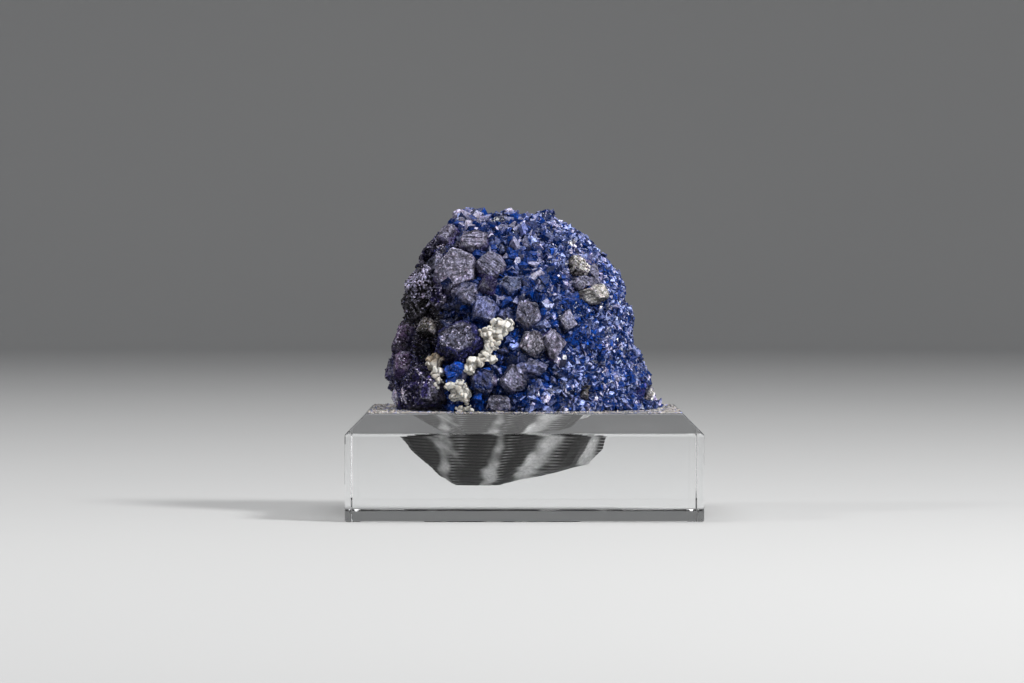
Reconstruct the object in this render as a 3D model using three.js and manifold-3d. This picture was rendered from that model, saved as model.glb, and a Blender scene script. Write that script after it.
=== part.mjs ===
// A blue fluorite specimen seated in a milled block of clear acrylic.
// Millimetres, +Z up. The origin is the centre of the block's underside and the display side faces -Y.
//
// The stone is one solid: a mound crusted with small crystals on its right, top and back, with large
// blocky crystals on its left, and a keel below that drops into the block's seat. Cream calcite grains
// sit in pockets between the large crystals.

import * as THREE from "three";
import { ConvexGeometry } from "three/addons/geometries/ConvexGeometry.js";
import { mergeVertices } from "three/addons/utils/BufferGeometryUtils.js";
import Module from "manifold-3d";

const wasm = await Module();
wasm.setup();

// ---------------------------------------------------------------- driving dimensions

const BLOCK = { width: 150, depth: 150, height: 45, bevel: 8.6 };
const SEAT_GAP = 0.5; // air between the keel and its milled seat
const REST_GAP = 0.35; // air between overhanging crystals and the block's top face
const POCKET_GAP = 0.35; // air between a calcite grain and the fluorite around it
const SECTION_POWER = 2.3; // how square each level of the stone is: 2 is an ellipse
const MOUND_SIDES = 46; // facets around the mound
const MOUND_ROWS = 18; // facets from its foot to its top
const FACET_JITTER = 1.1; // how far every corner of the mound's facets stands in or out
const PEAK_SHARE = 0.28; // share of those corners that are crystal tips
const PEAK_HEIGHT = 2.4; // how much further a tip stands out
const KEEL_SIDES = 32; // facets around the keel
const KEEL_LOBE = 2.4; // depth of the keel's upright lobes
const SEAT_LEAD = 10; // how far the seat's cutter runs out above the block

// Low waves round the mound: how many, how high, and how far each row of facets turns them, in radians.
const MOUND_WAVES = [
  [3, 0.6, 0.6],
  [7, 0.5, -1],
];

// Lobes round the keel: how many, their share of the depth, where they start and how far each level
// turns them, in radians.
const KEEL_LOBES = [
  [9, 1, 0, 0.4],
  [14, 0.5, 1.3, 0],
];
const KEEL_LOBE_SET_IN = 0.6; // share of the lobes' depth by which all of them stand in

// Levels of the mound above the block's top face: height, then its reach to the left, right, front and back.
const MOUND_LEVELS = [
  [0, -55.0, 56.5, -43.0, 42.0],
  [6, -56.0, 56.0, -43.5, 42.5],
  [12, -57.0, 54.0, -43.0, 42.0],
  [18, -56.0, 50.5, -42.0, 41.0],
  [25, -55.0, 47.8, -40.5, 40.0],
  [32, -53.0, 47.5, -38.5, 38.5],
  [38, -49.5, 46.5, -36.5, 37.0],
  [46, -50.5, 44.8, -34.0, 35.0],
  [54, -49.5, 42.2, -31.0, 32.0],
  [61, -46.0, 37.8, -27.5, 29.0],
  [68, -41.5, 32.0, -23.5, 25.5],
  [75, -36.6, 24.8, -18.5, 21.0],
  [80, -33.0, 19.5, -13.5, 16.5],
  [83, -28.0, 13.0, -8.0, 11.0],
  [84, -20.0, 5.0, -3.0, 5.0],
];

// Broad lumps and hollows of the mound: angle in degrees round from +X, height, spread, and stand out or in.
const LUMPS = [
  [-128, 14, 17, 2.5],
  [-62, 42, 20, 2.5],
  [-95, 62, 14, -2],
  [58, 26, 19, 5],
  [104, 60, 15, -6],
  [148, 22, 17, 4.5],
  [96, 84, 12, 3],
  [84, 6, 13, -4],
  [-145, 26, 7, -8],
  [-130, 42, 6, -4],
  [-133, 20, 5, -3],
];

// Levels of the keel, which hangs below the block's top face and is deepest left of the middle.
const KEEL_LEVELS = [
  [-31.3, -25.0, -15.0, -4.0, 4.0],
  [-30.5, -29.0, -10.0, -9.0, 9.0],
  [-27.5, -35.0, 4.0, -18.0, 19.0],
  [-22.5, -40.5, 25.0, -26.0, 26.0],
  [-16.0, -48.0, 30.5, -32.0, 31.0],
  [-10.5, -52.0, 32.5, -35.5, 34.5],
  [-3.0, -52.5, 43.0, -38.5, 37.5],
  [0, -52.5, 51.0, -40.0, 39.0],
  [1.5, -51.0, 50.0, -39.0, 38.0],
];

// Large crystals of the display side: x, height above the block, width, height, how many sides its outline
// has, its turn, and how far its front face looks to the right and up, the last three in degrees.
const LARGE_CRYSTALS = [
  [-21.9, 71.8, 14, 11.5, 6, 10, 5, 10],
  [-28.8, 59.8, 17, 19.5, 5, 80, 14, 8],
  [-14.4, 61.5, 13.6, 12.6, 6, 20, 6, 4],
  [-16.8, 54.2, 9, 8.5, 3, -90, 10, 12],
  [-24.9, 50.3, 14, 7.5, 5, 90, 0, 24],
  [-17.0, 43.0, 12.4, 12.4, 5, 40, 10, 0],
  [-27.1, 29.2, 23.5, 18, 6, 8, 4, 6],
  [1.8, 41.0, 11, 14, 5, 90, -6, 6],
  [3.6, 28.8, 12.6, 12, 5, 20, -5, 5],
  [11.6, 29.2, 8.6, 11.6, 4, 40, 12, 0],
  [3.0, 18.5, 12.4, 7.8, 5, -90, 4, -10],
  [-4.3, 12.9, 12, 12, 5, 0, 12, 8],
  [-10.5, 2.4, 11.6, 9, 5, 90, 0, 8],
  [-16.8, 12.9, 11.4, 12.4, 6, 15, 8, 4],
  [-27.4, 15.9, 12, 10.4, 5, -90, -10, 10],
  [16.8, 38.3, 7.8, 8.8, 4, 30, 14, 8],
  [23.4, 61.5, 8.6, 10.6, 5, 90, 10, 4],
  [28.8, 58.5, 6, 9, 3, 90, 8, 6],
  [31.2, 49.6, 12.6, 7.8, 4, 25, 16, 12],
  [25.2, 54.2, 10.6, 7.8, 5, -90, 4, 14],
  [-5.6, 53.3, 9.8, 9.8, 5, -60, 8, 6],
  [10.8, 55.5, 5.6, 8.4, 3, 90, 6, 6],
  [11.6, 48.2, 6.6, 6.8, 4, 45, 0, 10],
  [-44.4, 54.8, 15.5, 16.5, 6, 0, -8, 14],
  [-46.2, 42.8, 14.5, 12.5, 6, 30, -6, -14],
  [-39.6, 69.0, 9.6, 12, 5, 90, -6, 8],
  [-33.4, 75.0, 9.6, 11, 5, 60, -4, 12],
  [-38.0, 62.0, 8, 10.5, 4, 40, -10, -6],
  [-42.0, 35.6, 10, 7.4, 4, 10, 6, 24],
  [-51.8, 30.4, 13, 15, 6, 0, -14, 10],
  [-52.6, 19.6, 12, 13, 5, 90, -14, 0],
  [-42.8, 8.6, 23, 21, 6, 0, -8, 10],
  [-58.0, 13.6, 6.6, 7.4, 5, 180, -20, 6],
  [-36.4, 48.6, 8.6, 11.8, 5, 90, 0, -4],
  [-35.0, 41.2, 5.6, 4.8, 3, 180, 0, 20],
  [-30.6, 83.4, 8, 6.4, 5, 90, -10, 30],
  [-21.6, 84.6, 9, 6, 4, 20, 0, 30],
  [-6.6, 84.2, 9, 6.4, 5, 90, 0, 30],
  [8.8, 83.2, 12, 8.6, 6, 0, 6, 30],
  [53.0, 8.0, 7, 7, 5, 90, 24, 10],
];

// Runs of cream calcite grains: each grain is x, height above the block, width, height across.
const CALCITE_RUNS = {
  calcite_upper: [
    [-6.8, 36.4, 4.4, 4.2],
    [-11.0, 36.4, 4.2, 3.8],
    [-9.8, 33.2, 4.2, 6.0],
    [-15.4, 32.2, 6.8, 5.2],
    [-13.6, 28.0, 5.4, 4.4],
    [-16.0, 24.6, 4.4, 4.4],
    [-13.8, 22.2, 5.0, 3.4],
    [-18.6, 21.2, 4.8, 4.2],
    [-21.6, 18.6, 5.6, 5.8],
  ],
  calcite_lower: [
    [-29.2, 10.4, 4.8, 3.8],
    [-25.0, 11.2, 4.6, 4.6],
    [-28.0, 7.2, 4.2, 4.2],
    [-24.4, 7.4, 5.6, 5.2],
  ],
  calcite_foot: [
    [-26.0, 0.6, 4.6, 2.8],
    [-22.4, 0.8, 3.2, 3.0],
  ],
  calcite_left: [
    [-38.6, 19.6, 6.2, 6.2],
    [-35.2, 15.6, 4.4, 4.4],
    [-34.6, 12.2, 3.6, 3.8],
  ],
};

// Large blocky crystals: their taper, their depth for each millimetre of width and height, the share of
// that depth by which their middle is sunk in the mound, and the same for those on the sides and the back.
const BLOCKY = { taper: 0.12, depth: 0.36, sink: 0.08 };
const REAR = {
  count: 20,
  spacing: 15,
  least: 10,
  most: 13,
  mostOnLeft: 19,
  depth: 0.7,
  sink: 0.1,
  lean: 0.3,
};

// Middling wedge crystals that stand out of the crust.
const CRUST = { count: 16, spacing: 14, least: 4.4, most: 7.8, depth: 0.9, sink: 0.1, lean: 0.5 };

// A calcite grain: a tapered stub with few sides. Its size is a share of its place in the run, so that
// neighbours meet, and it stands out of the mound by a share of its depth.
const GRAIN = { sides: 5, narrowEnd: 0.75, length: 1.7, share: 0.66, stand: 0.2 };
const STONE_SEED = 7;

// ---------------------------------------------------------------- small helpers

// A seeded random generator, so that every build gives the same stone.
function seeded(seed) {
  return () => {
    seed = (seed + 0x6d2b79f5) | 0;
    let t = Math.imul(seed ^ (seed >>> 15), 1 | seed);
    t = (t + Math.imul(t ^ (t >>> 7), 61 | t)) ^ t;
    return ((t ^ (t >>> 14)) >>> 0) / 4294967296;
  };
}

const between = (random, low, high) => low + (high - low) * random();

// A closed three.js geometry as a manifold-3d solid.
function solidOf(geometry) {
  const bare = geometry.index ? geometry.toNonIndexed() : geometry.clone();
  bare.deleteAttribute("normal");
  bare.deleteAttribute("uv");
  const merged = mergeVertices(bare, 1e-4);
  return new wasm.Manifold(
    new wasm.Mesh({
      numProp: 3,
      vertProperties: new Float32Array(merged.attributes.position.array),
      triVerts: new Uint32Array(merged.index.array),
    }),
  );
}

// A manifold-3d solid as a three.js geometry.
function geometryOf(solid) {
  const mesh = solid.getMesh();
  const geometry = new THREE.BufferGeometry();
  geometry.setAttribute("position", new THREE.BufferAttribute(mesh.vertProperties, 3));
  geometry.setIndex(new THREE.BufferAttribute(mesh.triVerts, 1));
  return geometry;
}

const joined = (solids) => solids.reduce((all, solid) => all.add(solid));

// Drops any loose crumb that a cut has left beside the main body.
function largestBody(solid) {
  return solid.decompose().reduce((a, b) => (a.volume() > b.volume() ? a : b));
}

// ---------------------------------------------------------------- the stone's form

// The level at a fractional place in a table of levels.
function levelAt(levels, place) {
  const index = Math.min(Math.floor(place), levels.length - 2);
  const share = place - index;
  const [z, left, right, front, back] = levels[index].map((value, i) =>
    THREE.MathUtils.lerp(value, levels[index + 1][i], share),
  );
  return {
    z: z + BLOCK.height,
    centre: new THREE.Vector2((left + right) / 2, (front + back) / 2),
    reach: new THREE.Vector2((right - left) / 2, (back - front) / 2),
  };
}

// The place in a table of levels at a height above the block's top face.
function placeOf(levels, height) {
  const above = levels.findIndex((level) => level[0] > height);
  if (above < 1) return above === 0 ? 0 : levels.length - 1;
  const [low, high] = [levels[above - 1][0], levels[above][0]];
  return above - 1 + (height - low) / (high - low);
}

// A point on the rounded-square section of a level, grown outwards by grow.
function pointOn(level, angle, grow = 0) {
  const across = new THREE.Vector2(Math.cos(angle), Math.sin(angle));
  const radius =
    ((Math.abs(across.x) / level.reach.x) ** SECTION_POWER +
      (Math.abs(across.y) / level.reach.y) ** SECTION_POWER) **
    (-1 / SECTION_POWER);
  const flat = level.centre.clone().addScaledVector(across, radius + grow);
  return new THREE.Vector3(flat.x, flat.y, level.z);
}

// The mound's surface at an angle and a place in its levels, standing out further by stand.
function moundPoint(angle, place, stand = 0) {
  const level = levelAt(MOUND_LEVELS, place);
  const point = pointOn(level, angle);
  let grow = stand;
  for (const [degrees, height, spread, most] of LUMPS) {
    const centre = pointOn(
      levelAt(MOUND_LEVELS, placeOf(MOUND_LEVELS, height)),
      THREE.MathUtils.degToRad(degrees),
    );
    grow += most * Math.exp(-((point.distanceTo(centre) / spread) ** 2));
  }
  return pointOn(level, angle, grow);
}

// The mound's surface there: the point, its outward normal and how much surface there is around it.
function moundSurface(angle, place) {
  const step = 0.02;
  const last = MOUND_LEVELS.length - 1;
  const at = (a, p) => moundPoint(a, THREE.MathUtils.clamp(p, 0, last));
  const around = at(angle + step, place).sub(at(angle - step, place));
  const up = at(angle, place + step).sub(at(angle, place - step));
  const normal = around.cross(up);
  const area = normal.length() / (4 * step * step);
  return { point: at(angle, place), normal: normal.normalize(), area };
}

// The display side's surface at x and a height above the block.
function frontSurface(x, height) {
  const place = placeOf(MOUND_LEVELS, height);
  const level = levelAt(MOUND_LEVELS, place);
  const away = THREE.MathUtils.clamp((x - level.centre.x) / level.reach.x, -0.985, 0.985);
  const depth = (1 - Math.abs(away) ** SECTION_POWER) ** (1 / SECTION_POWER);
  return moundSurface(Math.atan2(-depth * level.reach.y, away * level.reach.x), place);
}

// A closed skin over rings of points, with a fan of faces at the bottom and one at the top.
function skinOver(rings) {
  const sides = rings[0].length;
  const middle = (ring) =>
    ring.reduce((sum, point) => sum.add(point), new THREE.Vector3()).divideScalar(sides);
  const corners = [];
  const face = (a, b, c) => corners.push(...a.toArray(), ...b.toArray(), ...c.toArray());
  rings.slice(1).forEach((upper, row) => {
    const lower = rings[row];
    for (let i = 0; i < sides; i += 1) {
      const next = (i + 1) % sides;
      const [a, b, c, d] = [lower[i], lower[next], upper[next], upper[i]];
      if ((i + row) % 2) {
        face(a, b, c);
        face(a, c, d);
      } else {
        face(a, b, d);
        face(b, c, d);
      }
    }
  });
  const [bottom, top] = [rings[0], rings[rings.length - 1]];
  const [under, over] = [middle(bottom), middle(top)];
  for (let i = 0; i < sides; i += 1) {
    const next = (i + 1) % sides;
    face(under, bottom[next], bottom[i]);
    face(over, top[i], top[next]);
  }
  const geometry = new THREE.BufferGeometry();
  geometry.setAttribute("position", new THREE.Float32BufferAttribute(corners, 3));
  return geometry;
}

// The mound: rings of facet corners from the foot to the top, every corner standing a little in or out.
function mound(random) {
  const rings = [];
  for (let row = 0; row <= MOUND_ROWS; row += 1) {
    const place = (row / MOUND_ROWS) * (MOUND_LEVELS.length - 1);
    const inner = row > 0 && row < MOUND_ROWS;
    const ring = [];
    for (let side = 0; side < MOUND_SIDES; side += 1) {
      const angle = ((side + (row % 2) / 2) / MOUND_SIDES) * 2 * Math.PI;
      const swell = MOUND_WAVES.reduce(
        (sum, [waves, high, turn]) => sum + high * Math.sin(waves * angle + turn * row),
        0,
      );
      const jitter = between(random, -FACET_JITTER, FACET_JITTER);
      const peak = random() < PEAK_SHARE ? PEAK_HEIGHT : 0;
      ring.push(moundPoint(angle, place, inner ? swell + jitter + peak : 0));
    }
    rings.push(ring);
  }
  return solidOf(skinOver(rings));
}

// The keel with its upright lobes. The seat's cutter is the same form, grown by the air gap.
function keel(grow) {
  const deepest = KEEL_LEVELS[0][0];
  const rings = KEEL_LEVELS.map(([height], index) => {
    const level = levelAt(KEEL_LEVELS, index);
    const lobed = Math.sin((Math.PI * Math.min(height, 0)) / deepest) ** 0.7;
    const ring = [];
    for (let side = 0; side < KEEL_SIDES; side += 1) {
      const angle = (side / KEEL_SIDES) * 2 * Math.PI;
      const lobe = KEEL_LOBES.reduce(
        (sum, [lobes, share, start, turn]) => sum + share * Math.sin(lobes * angle + start + turn * index),
        -KEEL_LOBE_SET_IN,
      );
      const point = pointOn(level, angle, KEEL_LOBE * lobed * lobe + grow);
      point.z -= grow;
      ring.push(point);
    }
    return ring;
  });
  if (grow > 0) rings.push(rings[rings.length - 1].map((p) => p.clone().setZ(p.z + SEAT_LEAD)));
  return solidOf(skinOver(rings));
}

// ---------------------------------------------------------------- crystals

// The convex body inside a set of planes.
function insidePlanes(planes) {
  const corners = [];
  const last = planes.length;
  for (let i = 0; i < last; i += 1)
    for (let j = i + 1; j < last; j += 1)
      for (let k = j + 1; k < last; k += 1) {
        const [a, b, c] = [planes[i], planes[j], planes[k]];
        const bc = b.direction.clone().cross(c.direction);
        const ca = c.direction.clone().cross(a.direction);
        const ab = a.direction.clone().cross(b.direction);
        const share = a.direction.dot(bc);
        if (Math.abs(share) < 0.02) continue;
        const corner = bc
          .multiplyScalar(a.distance)
          .addScaledVector(ca, b.distance)
          .addScaledVector(ab, c.distance)
          .divideScalar(share);
        if (planes.every((plane) => plane.direction.dot(corner) < plane.distance + 1e-6))
          corners.push(corner);
      }
  return new ConvexGeometry(corners);
}

// A crystal of about unit radius that looks along +Z: upright or tapered sides, a front face, a flat back
// and, where bevelled is 1, a bevel between the front face and every other side.
function crystalForm(random, sides, taper, bevelled) {
  const planes = [];
  const plane = (x, y, z, distance) =>
    planes.push({ direction: new THREE.Vector3(x, y, z).normalize(), distance });
  for (let side = 0; side < sides; side += 1) {
    const angle = ((side + between(random, -0.14, 0.14)) / sides) * 2 * Math.PI;
    plane(Math.cos(angle), Math.sin(angle), taper, between(random, 0.84, 1));
    if (side % 2 < bevelled) plane(Math.cos(angle), Math.sin(angle), 1, between(random, 0.94, 1.14));
  }
  plane(between(random, -0.1, 0.1), between(random, -0.1, 0.1), 1, between(random, 0.8, 0.92));
  plane(0, 0, -1, 1);
  return insidePlanes(planes);
}

// A crystal grown out of the surface along its normal, turned on it and leaning away from it.
function grown(geometry, surface, size, turn, lean, sink) {
  const turned = new THREE.Matrix4().makeRotationZ(turn);
  const tilt = new THREE.Matrix4().makeRotationFromEuler(new THREE.Euler(-lean.y, lean.x, 0));
  const upright = new THREE.Vector3(0, 0, 1);
  const facing = new THREE.Matrix4().lookAt(surface.normal, new THREE.Vector3(), upright);
  geometry.applyMatrix4(turned);
  geometry.scale(size.x / 2, size.y / 2, size.z / 2);
  geometry.applyMatrix4(tilt).applyMatrix4(facing);
  const centre = surface.point.clone().addScaledVector(surface.normal, -sink);
  geometry.translate(centre.x, centre.y, centre.z);
  return solidOf(geometry);
}

const leaning = (random, most) =>
  new THREE.Vector2(between(random, -most, most), between(random, -most, most));

// The listed large crystals of the display side.
function largeCrystals(random) {
  const radians = THREE.MathUtils.degToRad;
  return LARGE_CRYSTALS.map(([x, height, wide, high, sides, turn, right, up]) => {
    const size = new THREE.Vector3(wide, high, (wide + high) * BLOCKY.depth);
    const lean = new THREE.Vector2(radians(right), radians(up));
    const form = crystalForm(random, sides, BLOCKY.taper, 1);
    return grown(form, frontSurface(x, height), size, radians(turn), lean, size.z * BLOCKY.sink);
  });
}

// Places spread evenly over the mound, none nearer to another than their spacing.
function scattered(random, count, spacing, accepts) {
  const places = [];
  const mostArea = 500; // the most surface that one radian and one level of the mound hold
  const mostTries = 60000;
  for (let tries = 0; places.length < count && tries < mostTries; tries += 1) {
    const angle = between(random, 0, 2 * Math.PI);
    const surface = moundSurface(angle, between(random, 0.2, MOUND_LEVELS.length - 1.05));
    if (surface.area < random() * mostArea || !accepts(surface.point)) continue;
    if (places.every((other) => other.point.distanceTo(surface.point) > spacing))
      places.push(surface);
  }
  return places;
}

// How far a point is from the edge of the nearest listed crystal.
function clearOfLarge(point) {
  return Math.min(
    ...LARGE_CRYSTALS.map(([x, height, wide, high]) => {
      return frontSurface(x, height).point.distanceTo(point) - (wide + high) / 4;
    }),
  );
}

// Large crystals on the sides and the back, mostly on the left as on the display side.
function rearCrystals(random) {
  const behind = (point) => point.y > 4 && clearOfLarge(point) > 3;
  return scattered(random, REAR.count, REAR.spacing, behind).map((surface) => {
    const wide = between(random, REAR.least, surface.point.x < -5 ? REAR.mostOnLeft : REAR.most);
    const size = new THREE.Vector3(wide, wide * between(random, 0.7, 1), wide * REAR.depth);
    const form = crystalForm(random, random() < 0.5 ? 5 : 6, BLOCKY.taper, 1);
    const turn = random() * Math.PI;
    const solid = grown(form, surface, size, turn, leaning(random, REAR.lean), size.z * REAR.sink);
    return { surface, solid };
  });
}

// The middling crystals that stand out of the crust.
function crustCrystals(random, rear) {
  const clear = (point) =>
    clearOfLarge(point) > 0.5 && rear.every((other) => other.surface.point.distanceTo(point) > 7.5);
  return scattered(random, CRUST.count, CRUST.spacing, clear).map((surface) => {
    const wide = between(random, CRUST.least, CRUST.most);
    const size = new THREE.Vector3(wide, wide * between(random, 0.55, 0.9), wide * CRUST.depth);
    const form = crystalForm(random, random() < 0.6 ? 3 : 4, between(random, 0.35, 0.7), 0);
    const turn = random() * Math.PI;
    return grown(form, surface, size, turn, leaning(random, CRUST.lean), size.z * CRUST.sink);
  });
}

// ---------------------------------------------------------------- calcite

// One blunt calcite grain, or with grow the pocket that it sits in.
function grain([x, height, wide, high], index, grow) {
  const surface = frontSurface(x, height);
  const deep = (wide + high) / 2;
  const geometry = new THREE.CylinderGeometry(GRAIN.narrowEnd, 1, GRAIN.length, GRAIN.sides);
  geometry.rotateX(index * 1.1 - 0.5).rotateY(index * 2);
  geometry.scale(...[wide, deep, high].map((across) => across * GRAIN.share + grow));
  const centre = surface.point.clone().addScaledVector(surface.normal, deep * GRAIN.stand);
  geometry.translate(centre.x, centre.y, centre.z);
  return solidOf(geometry);
}

function calciteRun(grains, grow = 0) {
  return joined(grains.map((entry, index) => grain(entry, index, grow)));
}

// ---------------------------------------------------------------- the pieces

// All the space above the block's top face, less the air gap there.
function aboveBlock() {
  const reach = 2 * BLOCK.width;
  const geometry = new THREE.BoxGeometry(reach, reach, reach);
  geometry.translate(0, 0, BLOCK.height + REST_GAP + reach / 2);
  return solidOf(geometry);
}

function fluorite() {
  const random = seeded(STONE_SEED);
  const base = mound(random);
  const listed = largeCrystals(random);
  const rear = rearCrystals(random);
  const crust = crustCrystals(random, rear);
  const pockets = Object.values(CALCITE_RUNS).map((run) => calciteRun(run, POCKET_GAP));
  const stone = joined([base, ...listed, ...rear.map(({ solid }) => solid), ...crust])
    .intersect(aboveBlock())
    .add(keel(0))
    .subtract(joined(pockets));
  return largestBody(stone);
}

function calcite(name) {
  return calciteRun(CALCITE_RUNS[name]).intersect(aboveBlock());
}

// The block: upright sides, a wide bevel round the top face, and the seat milled to the keel's form.
function acrylicBlock() {
  const { width, depth, height, bevel } = BLOCK;
  const corners = [];
  for (const [z, inset] of [[0, 0], [height - bevel, 0], [height, bevel]])
    for (const sx of [-1, 1])
      for (const sy of [-1, 1])
        corners.push(new THREE.Vector3(sx * (width / 2 - inset), sy * (depth / 2 - inset), z));
  return solidOf(new ConvexGeometry(corners)).subtract(keel(SEAT_GAP));
}

// ---------------------------------------------------------------- finishes

const fluoriteFinish = () =>
  new THREE.MeshStandardMaterial({ color: 0x39478a, roughness: 0.45, metalness: 0 });
const calciteFinish = () =>
  new THREE.MeshStandardMaterial({ color: 0xd9d4c6, roughness: 0.6, metalness: 0 });
const acrylicFinish = () =>
  new THREE.MeshStandardMaterial({
    color: 0xe6eef0,
    roughness: 0.05,
    metalness: 0,
    transparent: true,
    opacity: 0.3,
  });

function piece(name, solid, material) {
  const mesh = new THREE.Mesh(geometryOf(solid), material);
  mesh.name = name;
  return mesh;
}

const specimen = new THREE.Group();
specimen.add(piece("acrylic_block", acrylicBlock(), acrylicFinish()));
specimen.add(piece("fluorite_cluster", fluorite(), fluoriteFinish()));
for (const name of Object.keys(CALCITE_RUNS))
  specimen.add(piece(name, calcite(name), calciteFinish()));

export default specimen;
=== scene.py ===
"""A blue fluorite specimen in its clear acrylic block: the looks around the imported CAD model.

Shapes are worked out in millimetres, in the CAD's own frame, and turned to metres as each mesh is made.
The order is: colours, noise, convex bodies, meshes, materials, the looks and shapes of the large crystals,
those of the crust, then the building of the stone, the calcite, the block and the stage.
"""

import math

import bmesh
import bpy
import numpy as np
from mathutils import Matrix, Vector
from mathutils.bvhtree import BVHTree
from mathutils.kdtree import KDTree


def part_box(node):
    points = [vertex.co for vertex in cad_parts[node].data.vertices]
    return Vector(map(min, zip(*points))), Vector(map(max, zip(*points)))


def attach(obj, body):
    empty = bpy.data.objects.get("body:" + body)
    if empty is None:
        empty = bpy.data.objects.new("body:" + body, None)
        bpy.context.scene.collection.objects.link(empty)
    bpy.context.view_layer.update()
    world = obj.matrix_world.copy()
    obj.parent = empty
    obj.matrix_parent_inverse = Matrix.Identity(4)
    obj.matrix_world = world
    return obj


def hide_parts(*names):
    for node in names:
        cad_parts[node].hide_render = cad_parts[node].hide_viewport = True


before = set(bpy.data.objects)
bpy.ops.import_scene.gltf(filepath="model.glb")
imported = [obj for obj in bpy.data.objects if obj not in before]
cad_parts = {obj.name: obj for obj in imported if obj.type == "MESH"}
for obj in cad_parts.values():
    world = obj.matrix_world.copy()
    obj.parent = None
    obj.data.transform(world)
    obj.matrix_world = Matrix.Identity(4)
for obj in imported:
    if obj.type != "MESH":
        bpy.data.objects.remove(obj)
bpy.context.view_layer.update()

scene = bpy.context.scene
scene.view_settings.view_transform = "Standard"

MM = 0.001
BLOCK_LOW, BLOCK_HIGH = (np.array(corner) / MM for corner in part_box("acrylic_block"))
BLOCK_TOP = BLOCK_HIGH[2]
CALCITES = [name for name in sorted(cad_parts) if name.startswith("calcite")]

# ---------------------------- colours
# Linear red, green and blue.

COBALT = np.array([0.004, 0.045, 0.27])
DEEP = np.array([0.002, 0.010, 0.060])
LAVENDER = np.array([0.215, 0.260, 0.500])
LILAC = np.array([0.46, 0.44, 0.62])
GREY = np.array([0.18, 0.18, 0.27])
PALE = np.array([0.40, 0.385, 0.48])
MAUVE = np.array([0.048, 0.038, 0.172])
PLUM = np.array([0.070, 0.045, 0.095])
CHARCOAL = np.array([0.026, 0.022, 0.036])
CREAM = np.array([0.62, 0.60, 0.56])
BEIGE = np.array([0.30, 0.28, 0.25])
MATRIX_ROCK = np.array([0.030, 0.029, 0.033])
CALCITE_BROWN = np.array([0.60, 0.49, 0.38])
# Painted shade and painted light for the seat's grooves.
SEAT_PAINTED_SHADE, SEAT_PAINTED_LIGHT = np.full(3, 0.003), np.full(3, 0.75)

# ---------------------------- noise
# The last number of each call is its seed, which sets only which pattern of its kind it is.


def scrambled(cells, seed):
    """A number from 0 to 1 for each whole-number cell."""
    x, y, z = (cells[:, axis].astype(np.uint32) for axis in range(3))
    mixed = x * np.uint32(73856093) ^ y * np.uint32(19349663) ^ z * np.uint32(83492791)
    mixed = mixed ^ np.uint32(seed * 2654435761 % 2**32)
    mixed = (mixed ^ mixed >> np.uint32(13)) * np.uint32(1274126177)
    mixed = (mixed ^ mixed >> np.uint32(16)) * np.uint32(2246822519)
    mixed = mixed ^ mixed >> np.uint32(15)
    return (mixed >> np.uint32(8)) / 2.0**24


def lumps(points, size, seed):
    """Smooth noise from -1 to 1, its lumps about size across."""
    place = points / size
    cell = np.floor(place).astype(np.int64)
    share = place - cell
    share = share * share * (3 - 2 * share)
    total = 0
    for corner in np.ndindex(2, 2, 2):
        weight = np.prod(np.where(corner, share, 1 - share), axis=1)
        total = total + weight * scrambled(cell + np.array(corner), seed)
    return 2 * total - 1


def layered(points, size, seed, layers=3):
    """Noise with finer, lower lumps on its lumps."""
    return sum(lumps(points, size / 2**layer, seed + layer) / 2**layer for layer in range(layers))


def grains(points, size, seed):
    """Cells about size across, each round one of scattered spots.

    Gives how much further off the next spot is, the cell's own number from 0 to 1, and the height of the
    cell's flat facet, which leans its own way. Both distances are in sizes."""
    place = points / size
    cell = np.floor(place).astype(np.int64)
    nearest = np.full(len(points), np.inf)
    second, own, height = nearest.copy(), np.zeros(len(points)), np.zeros(len(points))
    for step in np.ndindex(3, 3, 3):
        there = cell + np.array(step) - 1
        spot, lean = (
            np.stack([scrambled(there, seed + first + axis) for axis in range(3)], 1) for first in (0, 5)
        )
        spot = there + spot
        away = np.linalg.norm(spot - place, axis=1)
        nearer = away < nearest
        second = np.where(nearer, nearest, np.minimum(second, away))
        own = np.where(nearer, scrambled(there, seed + 3), own)
        height = np.where(nearer, ((place - spot) * (lean - 0.5)).sum(1), height)
        nearest = np.where(nearer, away, nearest)
    return second - nearest, own, height


def ramp(value, low, high):
    """0 below low, 1 above high and smooth between them."""
    share = np.clip((value - low) / (high - low), 0, 1)
    return share * share * (3 - 2 * share)


def blend(first, second, share):
    """Colours from first to second, one for each share."""
    share = np.asarray(share)[..., None]
    return first * (1 - share) + second * share


def unit(vectors):
    return vectors / np.maximum(np.linalg.norm(vectors, axis=-1, keepdims=True), 1e-12)


# ---------------------------- convex bodies


def cube(reach):
    """A cube as a list of faces, each the corners of a polygon that faces out."""
    corners = np.array(list(np.ndindex(2, 2, 2))) * 2.0 - 1
    sides = [(0, 1, 3, 2), (4, 6, 7, 5), (0, 4, 5, 1), (2, 3, 7, 6), (0, 2, 6, 4), (1, 5, 7, 3)]
    return [corners[list(side)] * reach for side in sides]


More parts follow.
